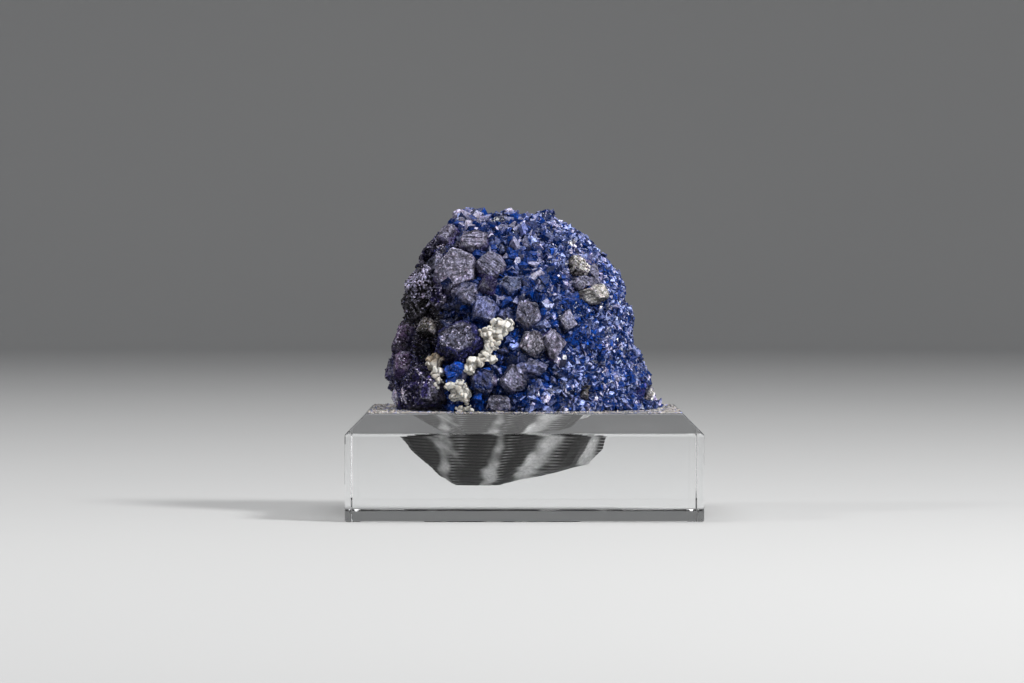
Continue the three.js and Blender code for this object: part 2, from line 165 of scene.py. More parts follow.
def clipped(faces, normal, offset):
    """A convex body less what is past a plane."""
    kept, rim = [], []
    for face in faces:
        past = face @ normal - offset
        if past.max() <= 1e-7:
            kept.append(face)
            continue
        inside = past <= 0
        corners = []
        for i, j in zip(range(len(face)), [*range(1, len(face)), 0]):
            if inside[i]:
                corners.append(face[i])
            if inside[i] != inside[j]:
                crossing = face[i] + (face[j] - face[i]) * past[i] / (past[i] - past[j])
                corners.append(crossing)
                rim.append(crossing)
        if len(corners) > 2:
            kept.append(np.array(corners))
    if len(rim) > 2:
        rim = np.unique(np.round(rim, 6), axis=0)
        middle = rim.mean(0)
        along = unit(rim[0] - middle)
        across = np.cross(normal, along)
        turn = np.arctan2((rim - middle) @ across, (rim - middle) @ along)
        kept.append(rim[np.argsort(turn)])
    return kept


def indexed(faces):
    """The body's corners, each once, and each face as places among them."""
    flat = np.round(np.concatenate(faces), 4)
    corners, place = np.unique(flat, axis=0, return_inverse=True)
    place = place.reshape(-1)
    rows, start = [], 0
    for face in faces:
        row = place[start:start + len(face)]
        start += len(face)
        row = row[row != np.roll(row, 1)]
        if len(row) > 2:
            rows.append(row)
    return corners, rows


def plane_of(face):
    """A polygon's outward unit normal and its distance along it."""
    normal = np.cross(face, np.roll(face, -1, axis=0)).sum(0)
    normal = normal / max(np.linalg.norm(normal), 1e-12)
    return normal, (face @ normal).mean()


def fans(rows):
    """Triangles for polygons given as rows of places."""
    return np.array([(row[0], row[i], row[i + 1]) for row in rows for i in range(1, len(row) - 1)])


def sides_of(triangles):
    """Each triangle's three sides, as pairs of corner places, the lower first."""
    return np.sort(triangles[:, [0, 1, 1, 2, 2, 0]].reshape(-1, 2), axis=1)


def refined(corners, triangles, longest, seen):
    """The same surface with every edge halved until none is over longest, or over COARSE where not seen."""
    while True:
        edges, place = np.unique(sides_of(triangles), axis=0, return_inverse=True)
        most = np.where(seen(corners[edges].mean(1)), longest, COARSE)
        long = np.linalg.norm(corners[edges[:, 0]] - corners[edges[:, 1]], axis=1) > most
        if not long.any():
            return corners, triangles
        middle = np.full(len(edges), -1)
        middle[long] = len(corners) + np.arange(long.sum())
        corners = np.concatenate([corners, corners[edges[long]].mean(1)])
        middle = middle[place.reshape(-1)].reshape(-1, 3)
        count = (middle >= 0).sum(1)
        made = [triangles[count == 0]]
        for turn in range(3):
            a, b, c = np.roll(triangles, -turn, axis=1).T
            ab, bc, ca = np.roll(middle, -turn, axis=1).T
            one, two = (count == 1) & (ab >= 0), (count == 2) & (ca < 0)
            made += [np.stack(row, 1)[one] for row in ((a, ab, c), (ab, b, c))]
            made += [np.stack(row, 1)[two] for row in ((a, ab, c), (ab, bc, c), (ab, b, bc))]
        a, b, c = triangles.T
        ab, bc, ca = middle.T
        quarters = (a, ab, ca), (ab, b, bc), (ca, bc, c), (ab, bc, ca)
        made += [np.stack(row, 1)[count == 3] for row in quarters]
        triangles = np.concatenate(made)


# ---------------------------- meshes


def arrays_of(mesh):
    """A mesh's corners in millimetres, those at one place merged, and its triangles."""
    mesh.calc_loop_triangles()
    corners = np.empty(len(mesh.vertices) * 3)
    mesh.vertices.foreach_get("co", corners)
    triangles = np.empty(len(mesh.loop_triangles) * 3, int)
    mesh.loop_triangles.foreach_get("vertices", triangles)
    corners, place = np.unique(np.round(corners.reshape(-1, 3) / MM, 3), axis=0, return_inverse=True)
    triangles = place.reshape(-1)[triangles.reshape(-1, 3)]
    whole = (triangles != np.roll(triangles, 1, axis=1)).all(1)
    return corners, triangles[whole]


def solid(name):
    """The corners and triangles of one of the CAD's solids."""
    return arrays_of(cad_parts[name].data)


def normals_of(corners, triangles):
    """Each triangle's unit normal and area."""
    a, b, c = (corners[triangles[:, i]] for i in range(3))
    cross = np.cross(b - a, c - a)
    double = np.linalg.norm(cross, axis=1)
    return cross / np.maximum(double, 1e-12)[:, None], double / 2


def corner_normals(corners, triangles):
    """Each corner's unit normal, weighted by the triangles' areas."""
    normals, areas = normals_of(corners, triangles)
    total = np.zeros_like(corners)
    for i in range(3):
        np.add.at(total, triangles[:, i], normals * areas[:, None])
    return unit(total)


def new_piece(name, corners, loops, sizes, materials, smooth=False):
    """A Blender object in metres from corners in millimetres and faces as one run of corner places."""
    mesh = bpy.data.meshes.new(name)
    mesh.vertices.add(len(corners))
    mesh.vertices.foreach_set("co", (corners * MM).astype(np.float32).ravel())
    mesh.loops.add(len(loops))
    mesh.loops.foreach_set("vertex_index", np.asarray(loops, np.int32))
    mesh.polygons.add(len(sizes))
    starts = np.concatenate([[0], np.cumsum(sizes)[:-1]]).astype(np.int32)
    mesh.polygons.foreach_set("loop_start", starts)
    mesh.polygons.foreach_set("use_smooth", np.full(len(sizes), smooth))
    mesh.update(calc_edges=True)
    for material in materials:
        mesh.materials.append(material)
    piece = bpy.data.objects.new(name, mesh)
    bpy.context.scene.collection.objects.link(piece)
    return piece


def between_rings(rings, sides):
    """The four-cornered faces between rings of corners, as rows of corner places."""
    here = np.arange(sides)
    after = (here + 1) % sides
    return np.concatenate([
        np.stack([here, after, sides + after, sides + here], 1) + ring * sides for ring in range(rings - 1)
    ])


def triangle_piece(name, corners, triangles, materials, smooth=True):
    return new_piece(name, corners, triangles.ravel(), np.full(len(triangles), 3), materials, smooth)


def paint(piece, domain, tint, frost):
    """Gives a mesh its painted colours, with any painted light and shade in them, and how frosted it is from
    0, glassy, to 1.
    """
    mesh = piece.data
    colour = mesh.attributes.new("tint", "FLOAT_COLOR", domain)
    rgba = np.concatenate([np.clip(tint, 0, 1), np.ones((len(tint), 1))], axis=1)
    colour.data.foreach_set("color", rgba.astype(np.float32).ravel())
    frosted = mesh.attributes.new("frost", "FLOAT", domain)
    frosted.data.foreach_set("value", np.clip(frost, 0, 1).astype(np.float32))


def voxel_skin(corners, triangles, size):
    """The closed surface remade in even small squares, as corners and triangles."""
    rough_piece = triangle_piece("rough_form", corners, triangles, [])
    remesh = rough_piece.modifiers.new("remesh", "REMESH")
    remesh.mode = "VOXEL"
    remesh.voxel_size = size * MM
    view = bpy.context.evaluated_depsgraph_get()
    made = bpy.data.meshes.new_from_object(rough_piece.evaluated_get(view))
    result = arrays_of(made)
    bpy.data.objects.remove(rough_piece)
    bpy.data.meshes.remove(made)
    return result


def smoothed(corners, triangles, rounds, share=0.5):
    """Corners drawn towards the middle of their neighbours."""
    edges = np.unique(sides_of(triangles), axis=0)
    count = np.bincount(edges.ravel(), minlength=len(corners))[:, None]
    for _ in range(rounds):
        total = np.zeros_like(corners)
        np.add.at(total, edges[:, 0], corners[edges[:, 1]])
        np.add.at(total, edges[:, 1], corners[edges[:, 0]])
        corners = corners + share * (total / np.maximum(count, 1) - corners)
    return corners


# ---------------------------- materials


class Shader:
    """A material on one Principled node. A value here is a node's output, a number or a colour."""

    def __init__(self, name, **sockets):
        self.material = bpy.data.materials.new(name)
        self.material.use_nodes = True
        self.nodes = self.material.node_tree.nodes
        self.finish(**sockets)
        self.place = self.add("ShaderNodeTexCoord", "Object")

    def finish(self, **sockets):
        """Sets or links sockets of the Principled node, with _ for each space of their names."""
        for name, value in sockets.items():
            self.feed(self.nodes["Principled BSDF"].inputs[name.replace("_", " ")], value)
        return self.material

    def feed(self, socket, value):
        if isinstance(value, bpy.types.NodeSocket):
            self.material.node_tree.links.new(value, socket)
        else:
            socket.default_value = (*value, 1) if socket.type == "RGBA" else value

    def add(self, kind, output, inputs=(), **settings):
        """The output of a new node with these settings, its inputs given as pairs of place and value."""
        node = self.nodes.new(kind)
        for key, value in settings.items():
            setattr(node, key, value)
        for place, value in inputs:
            self.feed(node.inputs[place], value)
        return node.outputs[output]

    def attribute(self, name, output):
        return self.add("ShaderNodeAttribute", output, attribute_name=name)

    def noise(self, size, detail=4.0, sharp=0.6):
        """Noise whose lumps are about size millimetres across."""
        inputs = ("Scale", 1 / (size * MM)), ("Detail", detail), ("Roughness", sharp), ("Vector", self.place)
        return self.add("ShaderNodeTexNoise", "Fac", inputs)

    def cells(self, size):
        """A random colour for each cell about size millimetres across."""
        inputs = ("Scale", 1 / (size * MM)), ("Vector", self.place)
        return self.add("ShaderNodeTexVoronoi", "Color", inputs)

    def ranged(self, value, low, high, to_low, to_high):
        return self.add("ShaderNodeMapRange", "Result", enumerate((value, low, high, to_low, to_high)))

    def maths(self, operation, first, second):
        return self.add("ShaderNodeMath", "Value", enumerate((first, second)), operation=operation)

    def mixed(self, share, first, second, blend_type="MIX"):
        """A mix of two colours."""
        inputs = (0, share), (6, first), (7, second)
        return self.add("ShaderNodeMix", 2, inputs, data_type="RGBA", blend_type=blend_type)

    def bump(self, height, strength, depth, *under):
        """The normal with bumps of this height on it, depth in millimetres, on another normal if given."""
        inputs = ("Distance", depth * MM), ("Strength", strength), ("Height", height)
        return self.add("ShaderNodeBump", "Normal", inputs + tuple(("Normal", normal) for normal in under))

    def vectors(self, operation, *inputs):
        return self.add("ShaderNodeVectorMath", "Vector", enumerate(inputs), operation=operation)

    def scaled(self, vector, share):
        inputs = (0, vector), ("Scale", share)
        return self.add("ShaderNodeVectorMath", "Vector", inputs, operation="SCALE")

    def tilted(self, cells, share):
        """The surface's normal, leaned each way at random by the cells' colours, by a share of them."""
        lean = self.scaled(self.vectors("SUBTRACT", cells, (0.5, 0.5, 0.5)), share)
        normal = self.add("ShaderNodeNewGeometry", "Normal")
        return self.vectors("NORMALIZE", self.vectors("ADD", normal, lean))


FLUORITE_IOR, CALCITE_IOR, ACRYLIC_IOR = 1.434, 1.6, 1.49
LILAC_VEIL, PAINTED_GLINT = (1.5, 0.95, 1.05), (0.66, 0.61, 0.80)  # warm cast on part of the faces; painted highlight on the brightest facets


def stone_material(name, glow, grain, facets):
    """Fluorite: its painted tint, glassy or frosted as painted, in facets about grain wide with painted
    light, shade and glints.
    """
    shader = Shader(
        name, IOR=FLUORITE_IOR, Specular_IOR_Level=0.22, Subsurface_Weight=glow, Subsurface_Scale=0.8 * MM,
        Subsurface_Radius=(0.25, 0.5, 1.0),
    )
    frost = shader.attribute("frost", "Fac")
    own = shader.cells(grain)
    # Painted light and shade: each small cell lighter or darker, as facets lit differently.
    tone = shader.ranged(shader.cells(grain * 0.8), 0.1, 0.9, 0, 1)
    dark = shader.ranged(frost, 0.3, 1, 0.85, 0.28)
    light = shader.ranged(frost, 0.3, 1, 1.1, 1.8)
    contrast = shader.maths("MULTIPLY", tone, shader.maths("SUBTRACT", light, dark))
    level = shader.maths("ADD", dark, contrast)
    veins = shader.ranged(shader.noise(grain * 2.0, detail=6, sharp=0.8), 0.40, 0.62, 0.3, 1.55)
    tint = shader.scaled(shader.attribute("tint", "Color"), shader.maths("MULTIPLY", level, veins))
    veil = shader.ranged(shader.noise(2.1, detail=5, sharp=0.75), 0.52, 0.66, 0, 0.35)
    tint = shader.mixed(veil, tint, shader.mixed(1.0, tint, LILAC_VEIL, "MULTIPLY"))
    # Painted highlight: the brightest frosted cells take the glint colour.
    brightest, frosted = shader.ranged(tone, 0.86, 0.95, 0, 0.9), shader.ranged(frost, 0.6, 1, 0.1, 1)
    tint = shader.mixed(shader.maths("MULTIPLY", brightest, frosted), tint, PAINTED_GLINT)
    gloss = shader.ranged(shader.maths("ADD", frost, shader.noise(1.6)), 0.45, 1.5, 0.15, 0.45)
    facet = shader.tilted(own, shader.ranged(frost, 0, 1, facets * 0.25, facets))
    normal = shader.bump(shader.noise(1.1, detail=5), shader.ranged(frost, 0, 1, 0.15, 0.5), 0.35, facet)
    return shader.finish(Base_Color=tint, Roughness=gloss, Normal=normal)


def calcite_material():
    """Smooth cream calcite, browner in patches, darker in its grooves by painted shade in its tint, lit from
    within.
    """
    shader = Shader(
        "cream_calcite", IOR=CALCITE_IOR, Subsurface_Weight=0.35, Subsurface_Scale=1.6 * MM,
        Subsurface_Radius=(1.0, 0.8, 0.55),
    )
    stain = shader.ranged(shader.noise(4.0, detail=3), 0.45, 0.72, 0, 0.55)
    cloud = shader.mixed(stain, (0.66, 0.645, 0.61), (0.40, 0.34, 0.27))
    tint = shader.mixed(1.0, cloud, shader.attribute("tint", "Color"), "MULTIPLY")
    gloss = shader.ranged(shader.noise(1.5), 0.3, 0.7, 0.28, 0.55)
    normal = shader.bump(shader.noise(0.8, detail=4), 0.35, 0.2)
    return shader.finish(Base_Color=tint, Roughness=gloss, Normal=normal)


# ---------------------------- large crystals

# Looks of the large crystals: colour on their faces, colour at their foot, partly painted shade, how frosted,
# and the strengths of their relief: sugary grain, pits, straight growth lines, curved steps, cracks, grit and
# flat chips (chunks). Two more are colour alone: a grey veil and pale painted glints.
SLATE, DUSK = blend(GREY, COBALT, 0.35), blend(MAUVE, DEEP, 0.6)
LOOKS = {
    "pale": (LILAC * 0.46, MAUVE * 0.4, 0.74, dict(sugar=0.35, pits=0.5, lines=0.3, grit=0.7, chunks=0.5)),
    "grey": (GREY * 0.80, DEEP, 0.66, dict(sugar=0.4, lines=0.6, grit=0.5, chunks=1.0)),
    "lined": (GREY * 0.58, MAUVE * 0.45, 0.64, dict(sugar=0.2, lines=1.3, grit=0.6, chunks=0.6)),
    "stepped": (LILAC * 0.38, MAUVE * 0.5, 0.66, dict(sugar=0.4, steps=0.7, grit=0.8, chunks=0.4)),
    "cracked": (PALE * 0.66, DEEP, 0.72, dict(sugar=0.5, cracks=1.4, grit=0.7, chunks=0.7)),
    "blue_grey": (SLATE * 0.95, COBALT * 0.5, 0.55, dict(sugar=0.4, lines=0.5, chunks=1.2)),
    "rimmed": (GREY * 0.66, DUSK, 0.92, dict(sugar=1.3, pits=1.5, grit=1.2, chunks=0.6)),
    "glassy": (DEEP * 1.8, DEEP, 0.22, dict(sugar=0.6, lines=0.5, pits=0.9, chunks=1.3, veil=0.3)),
    "cobalt": (COBALT * 2.4, COBALT * 0.4, 0.2, dict(sugar=0.2, lines=0.5, cracks=0.5, chunks=1.5, veil=0.6)),
    "azure": (COBALT * 3.0, COBALT * 0.6, 0.20, dict(lines=0.5, chunks=1.4)),
    "plum": (PLUM * 1.75, MAUVE * 0.35, 1.0, dict(sugar=1.0, pits=1.0, grit=1.5)),
    "mauve": (MAUVE * 0.48, MAUVE * 0.18, 1.0, dict(sugar=1.2, pits=1.2, grit=1.5, chunks=0.8)),
    "charcoal": (CHARCOAL * 0.16, CHARCOAL * 0.1, 0.7, dict(sugar=1.8, pits=1.6, grit=1.6, painted_glints=0.05)),
    "sparkling": (CHARCOAL * 0.8, CHARCOAL * 0.3, 1.0, dict(sugar=2.0, pits=1.8, grit=2.0, painted_glints=0.34)),
    "cream": (CREAM * 0.85, GREY * 0.4, 0.75, dict(sugar=0.5, lines=1.4, grit=0.7, chunks=0.5)),
    "white": (CREAM * 0.60, CHARCOAL * 0.6, 0.9, dict(sugar=1.2, pits=2.4, grit=1.0, chunks=0.8)),
    "beige": (BEIGE * 0.5, CHARCOAL * 0.7, 0.75, dict(lines=1.8, sugar=0.6, grit=0.8)),
    "lavender": (LAVENDER * 0.55, COBALT * 0.45, 0.5, dict(sugar=0.4, lines=0.6, grit=0.4, chunks=1.2)),
    "pearl": (LILAC * 0.85, MAUVE * 0.5, 0.8, dict(lines=1.8, grit=0.9, chunks=0.8)),
    "lilac": (LILAC * 0.42, MAUVE * 0.5, 0.7, dict(sugar=0.8, grit=0.9, chunks=0.8)),
}

# Lesser crystals of the display side: x, height above the block, width, look.
LESSER_CRYSTALS = [
    (-24.5, 50.0, 13.5, "grey"), (-16.8, 53.0, 11.0, "lined"), (-9.0, 41.0, 8.5, "blue_grey"),
    (-27.5, 40.0, 7.5, "glassy"), (-41.7, 26.7, 4.2, "lavender"), (-13.4, 13.2, 4.6, "pale"),
    (26.4, 7.6, 5.6, "beige"), (-9.5, 27.0, 6.0, "glassy"), (-5.5, 36.0, 5.5, "grey"),
    (-9.0, 70.0, 6.0, "lavender"), (-12.0, 22.0, 6.0, "glassy"), (-16.0, 18.6, 5.0, "azure"),
    (-19.2, 5.2, 4.6, "azure"), (-28.5, 70.5, 7.0, "mauve"), (-31.5, 52.5, 6.5, "grey"),
    (12.5, 13.0, 6.0, "blue_grey"), (34.0, 20.0, 6.0, "lavender"), (21.5, 55.0, 6.0, "grey"),
    (36.5, 45.0, 5.5, "lavender"), (-44.5, 63.0, 6.0, "mauve"), (-48.5, 12.0, 8.0, "mauve"),
    (-54.5, 5.0, 6.0, "pearl"), (54.0, 6.4, 7.0, "cream"),
]

# Which look the large crystals of the display side have: x, height above the block, look, and the way of its
# lines or steps in degrees from the horizontal.
CRYSTAL_LOOKS = [
    (-21.9, 71.8, "stepped", 15), (-28.8, 59.8, "pale", 0), (-14.4, 61.5, "lined", -35),
    (-16.8, 54.2, "lined", 60), (-24.9, 50.3, "grey", 0), (-17.0, 43.0, "blue_grey", 40),
    (-27.1, 29.2, "rimmed", 0), (1.8, 41.0, "grey", 70), (3.6, 28.8, "cracked", 60),
    (11.6, 29.2, "stepped", 70), (3.0, 18.5, "blue_grey", 20), (-4.3, 12.9, "grey", -40),
    (-10.5, 2.4, "grey", 80), (-16.8, 12.9, "glassy", 0), (-27.4, 15.9, "cobalt", 20),
    (18.9, 38.4, "grey", 50), (21.8, 35.1, "crust", 0), (23.4, 61.5, "white", 20),
    (28.8, 58.5, "grey", 80), (31.2, 49.6, "cream", 0), (25.2, 54.2, "grey", 10),
    (-5.6, 53.3, "lavender", 60), (10.8, 55.5, "lavender", 80), (17.6, 71.5, "crust", 0),
    (48.9, 22.9, "crust", 0), (52.2, 18.0, "crust", 0), (11.6, 48.2, "lavender", 20),
    (-44.4, 54.8, "sparkling", 30), (-46.2, 42.8, "charcoal", 0), (-39.6, 69.0, "mauve", 40),
    (-33.4, 75.0, "lilac", 0), (-31.9, 44.8, "glassy", 0), (-55.1, 3.3, "pearl", 80),
    (-38.0, 62.0, "grey", 20), (-42.0, 35.6, "beige", 70), (-51.8, 30.4, "plum", 0),
    (-52.6, 19.6, "plum", 30), (-42.8, 8.6, "mauve", 60), (-58.0, 13.6, "lilac", 0),
    (-36.4, 48.6, "mauve", 50), (-35.0, 41.2, "lilac", 10), (-30.6, 83.4, "lavender", 0),
    (-21.6, 84.6, "lavender", 30), (-6.6, 84.2, "lavender", 60), (8.8, 83.2, "crust", 0),
    (53.0, 8.0, "crust", 0),
]
REAR_LOOKS = ["grey", "mauve", "stepped", "lavender", "blue_grey", "lined", "rimmed", "pale"]

# Ovals on the display side: x, height above the block, half width and half height.
RECESS = (-43.0, 28.0, 5.2, 7.5)  # the hollow, darkened by painted shade
FOOT_STREAKS = (-54.5, 5.5, 3.6, 6.5)  # the white curved streaks
RECESS_DEPTH, RECESS_SHADE = 2.6, 0.85  # how deep the hollow is, and how much painted shade darkens it
DISPLAY_BACK = 6  # crystals with their middle at a lower y than this are on the display side
LOOK_REACH = 7  # how near a crystal is to its row in the table of looks
FACE_AREA, SLIVER = 30, 0.4  # a flat face over the first is a large crystal's, one under the second is none
SAME_PLANE, LEVEL = 0.9999, 0.9995  # least cosine between faces of one plane, and from up for a level face
FOOT_MARGIN, CALCITE_MARGIN = 0.3, 0.6  # faces as near the block, or calcite, as this are not a crystal's
DEEPEST_SET = 2.0  # how far in the middle of a lesser crystal lies at most
BURIED = 2.5  # how far a large crystal goes on inside the stone
MESH_DEPTH = 0.8  # its mesh is fine down to this far under its lowest seen corner
CRYSTAL_EDGE, REAR_EDGE, COARSE = 0.6, 0.95, 5.0  # longest edge of a large crystal's mesh, and where buried
WIDER = 0.55  # how far a large crystal's sides stand out round the solid's
WORN_DEPTH, WORN_REACH = 0.14, 0.4  # how far its edges are worn in, and how wide
WORN_CORNERS = 8  # corners cut off each crystal
FLAT_SHARE = 0.5  # a crystal with more than this share of its area in one face gets a low pyramid there
PYRAMID = (8, 19)  # how steep the pyramid's faces are, in degrees
FACE_LIGHT = (0.5, 1.55)  # how much darker or lighter than its look each face of a crystal is painted, as painted light and shade
LESSER_FORM = (5, 3, 52)  # sides, top faces and their steepness in degrees
# Sizes of flat chips, sugary grains, pale painted glints, cracked parts, grit, growth lines and curved steps.
CHUNK, SUGAR, GLINT_SPECK, CRACKED, GRIT, LINE_PITCH, STEP_PITCH = 3.4, 1.3, 0.65, 3.1, 0.3, 1.25, 3.1


def joined_sets(count, first, second):
    """The lowest number in the set of each item, for sets joined by pairs."""
    lowest = np.arange(count)
    while True:
        least = np.minimum(lowest[first], lowest[second])
        before = lowest.copy()
        np.minimum.at(lowest, first, least)
        np.minimum.at(lowest, second, least)
        lowest = lowest[lowest]
        if (lowest == before).all():
            return lowest


def crystal_planes(corners, triangles, near_calcite):
    """Each large crystal, as the corners of its faces and their planes, each a (normal, offset, area).

    Where two crystals meet, the edge between them goes in, and a crystal's own edges all go out, so its faces
    are joined by the edges that don't go in."""
    normals, areas = normals_of(corners, triangles)
    sides = sides_of(triangles)
    owner = np.repeat(np.arange(len(triangles)), 3)
    order = np.lexsort((sides[:, 1], sides[:, 0]))
    same = np.flatnonzero((sides[order][1:] == sides[order][:-1]).all(1))
    first, second = owner[order][same], owner[order][same + 1]
    middle = corners[triangles].mean(1)
    above = ((middle[second] - middle[first]) * normals[first]).sum(1)
    aligned = (normals[first] * normals[second]).sum(1)
    flat = aligned > SAME_PLANE
    barred = (middle[:, 2] < BLOCK_TOP + FOOT_MARGIN) | (np.abs(normals[:, 2]) > LEVEL)
    barred |= near_calcite(middle)
    free = ~barred[first] & ~barred[second]
    face = joined_sets(len(triangles), first[flat & free], second[flat & free])
    out = free & (flat | (above < 0))
    body = joined_sets(len(triangles), first[out], second[out])
    face_area = np.bincount(face, areas, minlength=len(triangles))
    found = []
    for number in np.unique(body[(face_area[face] > FACE_AREA) & ~barred]):
        members = np.flatnonzero(body == number)
        planes = []
        for one in np.unique(face[members]):
            part = members[face[members] == one]
            if areas[part].sum() < SLIVER:
                continue
            normal = unit((normals[part] * areas[part, None]).sum(0))
            offset = (corners[triangles[part]].reshape(-1, 3) @ normal).max()
            planes.append((normal, offset, areas[part].sum()))
        found.append((corners[np.unique(triangles[members])], planes))
    return found


def crystal_form(seen, planes, random):
    """The convex body of a large crystal: its seen faces, its buried part and a few worn corners."""
    facing = unit(sum(normal * area for normal, _, area in planes))
    middle = seen.mean(0)
    along = unit(np.cross(facing, (0.31, 0.17, 0.93)))
    across = np.cross(facing, along)
    faces = [face + middle for face in cube(60.0)]
    for axis in (along, -along, across, -across):
        faces = clipped(faces, axis, (seen @ axis).max() + WIDER)
    for axis in np.concatenate([np.eye(3), -np.eye(3)]):
        faces = clipped(faces, axis, (seen @ axis).max() + (0.1 if axis @ facing > 0.5 else BURIED))
    faces = clipped(faces, -facing, -(seen @ facing).min() + BURIED)
    for normal, offset, _ in planes:
        faces = clipped(faces, normal, offset + WIDER * (1 - max(0.0, normal @ facing)))
    wide = np.ptp(seen @ along)
    areas = np.array([area for _, _, area in planes])
    if areas.max() > FLAT_SHARE * areas.sum():
        summit = middle + facing * ((seen @ facing).max() - middle @ facing)
        summit = summit + (along * random.uniform(-1, 1) + across * random.uniform(-1, 1)) * 0.16 * wide
        start = random.uniform(0, 2 * math.pi)
        for side in range(4):
            angle = start + (side + random.uniform(-0.25, 0.25)) * math.pi / 2
            steep = math.radians(random.uniform(*PYRAMID))
            aside = along * math.cos(angle) + across * math.sin(angle)
            normal = facing * math.cos(steep) + aside * math.sin(steep)
            faces = clipped(faces, normal, summit @ normal - random.uniform(0, 0.02) * wide)
    for _ in range(WORN_CORNERS):
        corners, _ = indexed(faces)
        outer = corners[(corners - middle) @ facing > -0.1 * wide]
        if len(outer) == 0:
            break
        corner = outer[random.integers(len(outer))]
        away = unit(unit(corner - middle) + random.normal(0, 0.3, 3))
        faces = clipped(faces, away, (corners @ away).max() - random.uniform(0.015, 0.07) * wide)
    return faces, facing


def small_crystal(x, height, wide, random):
    """A lesser crystal of the display side: the corners of its seen part, and its planes as those found."""
    spot, way, _, _ = STONE_SKIN.ray_cast(Vector((x, -90, BLOCK_TOP + height)), Vector((0, 1, 0)))
    form, rows = wedge(random, *LESSER_FORM)
    way = unit(np.array(way) + random.normal(0, 0.25, 3))
    turn = turned(way[None], random.uniform(0, 6, 1), np.zeros(1), np.zeros(1))[0]
    corners = (form * wide) @ turn.T + np.array(spot) - way * min(0.22 * wide, DEEPEST_SET)
    planes = [(*plane_of(corners[row]), 1.0) for row in rows]
    return corners[form[:, 2] > 0], [plane for plane in planes if plane[0] @ way > -0.5]


def looks_of(middle, random):
    """The look of the crystal there and the way of its lines, from the table or else at random."""
    x, height = middle[0], middle[2] - BLOCK_TOP
    if middle[1] < DISPLAY_BACK:
        away = [math.hypot(x - row[0], height - row[1]) for row in CRYSTAL_LOOKS]
        nearest = int(np.argmin(away))
        if away[nearest] < LOOK_REACH:
            return CRYSTAL_LOOKS[nearest][2:]
    if random is None:
        return "", 0
    return REAR_LOOKS[random.integers(len(REAR_LOOKS))], random.uniform(0, 180)


def places(points):
    """Each point's x, its y and its height above the block's top face."""
    return points[:, 0], points[:, 1], points[:, 2] - BLOCK_TOP


def off_oval(points, oval):
    """How far each point of the display side is from an oval's middle: 1 at its rim."""
    x, _, height = places(points)
    return np.hypot((x - oval[0]) / oval[2], (height - oval[1]) / oval[3])


def in_recess(points):
    """How far each point is in the hollow at the left of the display side, darkened by painted shade, from 0
    to 1.
    """
    away = off_oval(points, RECESS) + 0.15 * lumps(points, 5, 351)
    return ramp(-away, -1.2, -0.7) * (points[:, 1] < 0)


def foot_streaks(points):
    """How far each point is on the white curved streaks at the stone's left foot, from 0 to 1."""
    x, y, height = places(points)
    wave = np.sin((x + 0.35 * height) * math.pi + 2.2 * lumps(points, 3, 371))
    return ramp(-off_oval(points, FOOT_STREAKS), -1.2, -0.8) * ramp(wave, 0.1, 0.6) * (y < 0)


def crystal_relief(points, look, along, seed):
    """How far each point of a large crystal's skin is set in."""
    strength = LOOKS[look][3]
    deep = 0.10 * layered(points, 3.5, seed) + 0.04 * layered(points, 1.1, seed + 9, 2)
    if "sugar" in strength:
        _, own, lean = grains(points, SUGAR, seed + 20)
        deep = deep + strength["sugar"] * (0.20 + 0.75 * lean + 0.22 * own)
    if "chunks" in strength:
        _, own, lean = grains(points, CHUNK, seed + 10)
        deep = deep + strength["chunks"] * (1.3 * lean + 0.45 * own)
    if "pits" in strength:
        deep = deep + strength["pits"] * 0.55 * ramp(layered(points, 2.6, seed + 30), 0.35, 0.8)
    if "lines" in strength:
        run = points @ along / LINE_PITCH + 0.35 * lumps(points, 6, seed + 40)
        deep = deep + strength["lines"] * 0.22 * (run - np.floor(run))
    if "steps" in strength:
        run = points @ along / STEP_PITCH + 0.8 * lumps(points, 9, seed + 50)
        deep = deep + strength["steps"] * 0.75 * (run - np.floor(run)) ** 1.5
    if "cracks" in strength:
        gap, own, _ = grains(points * (1, 1, 0.7), CRACKED, seed + 60)
        deep = deep + strength["cracks"] * (0.55 * np.exp(-((gap / 0.16) ** 2)) + 0.25 * own)
    if "grit" in strength:
        deep = deep + strength["grit"] * 0.13 * scrambled(np.floor(points / GRIT).astype(np.int64), seed)
    return deep


def way_on(facing, turn):
    """The way across a face that is turned so many degrees from its level line."""
    level = unit(np.cross((0, 0, 1.0), facing)) if abs(facing[2]) < 0.95 else np.array([1.0, 0, 0])
    turn = math.radians(turn)
    return math.cos(turn) * level + math.sin(turn) * np.cross(facing, level)


def coloured_relief(tint, frost, points, deep, strength, seed):
    """A large crystal's tint and frost with its chips and grains, painted shade in its hollows, its veil and
    its pale painted glints.
    """
    if "chunks" in strength:
        _, own, _ = grains(points, CHUNK, seed * 7 + 10)
        tint = tint * np.exp(1.0 * (own - 0.5))[:, None]
    if "sugar" in strength:
        _, own, _ = grains(points, SUGAR, seed * 7 + 20)
        tint = tint * np.exp(min(1.2, strength["sugar"]) * 1.5 * (own - 0.55))[:, None]
    # Painted shade: darker where the relief sets the skin in.
    tint = tint * (1 - 0.55 * ramp(deep, 0.3, 0.9))[:, None]
    if "veil" in strength:
        veil = strength["veil"] * ramp(layered(points, 5, seed + 90, 2), 0.0, 0.45)
        tint = blend(tint, GREY * 0.8, veil)
        frost = frost + 0.45 * veil
    if "painted_glints" in strength:
        # Pale painted glints, thicker in clusters.
        _, own, _ = grains(points, GLINT_SPECK, seed * 7 + 30)
        crowded = strength["painted_glints"] * (1 + 1.3 * layered(points, 5, 361, 2))
        tint = blend(tint, LILAC * 1.15, own < crowded)
    return tint, frost


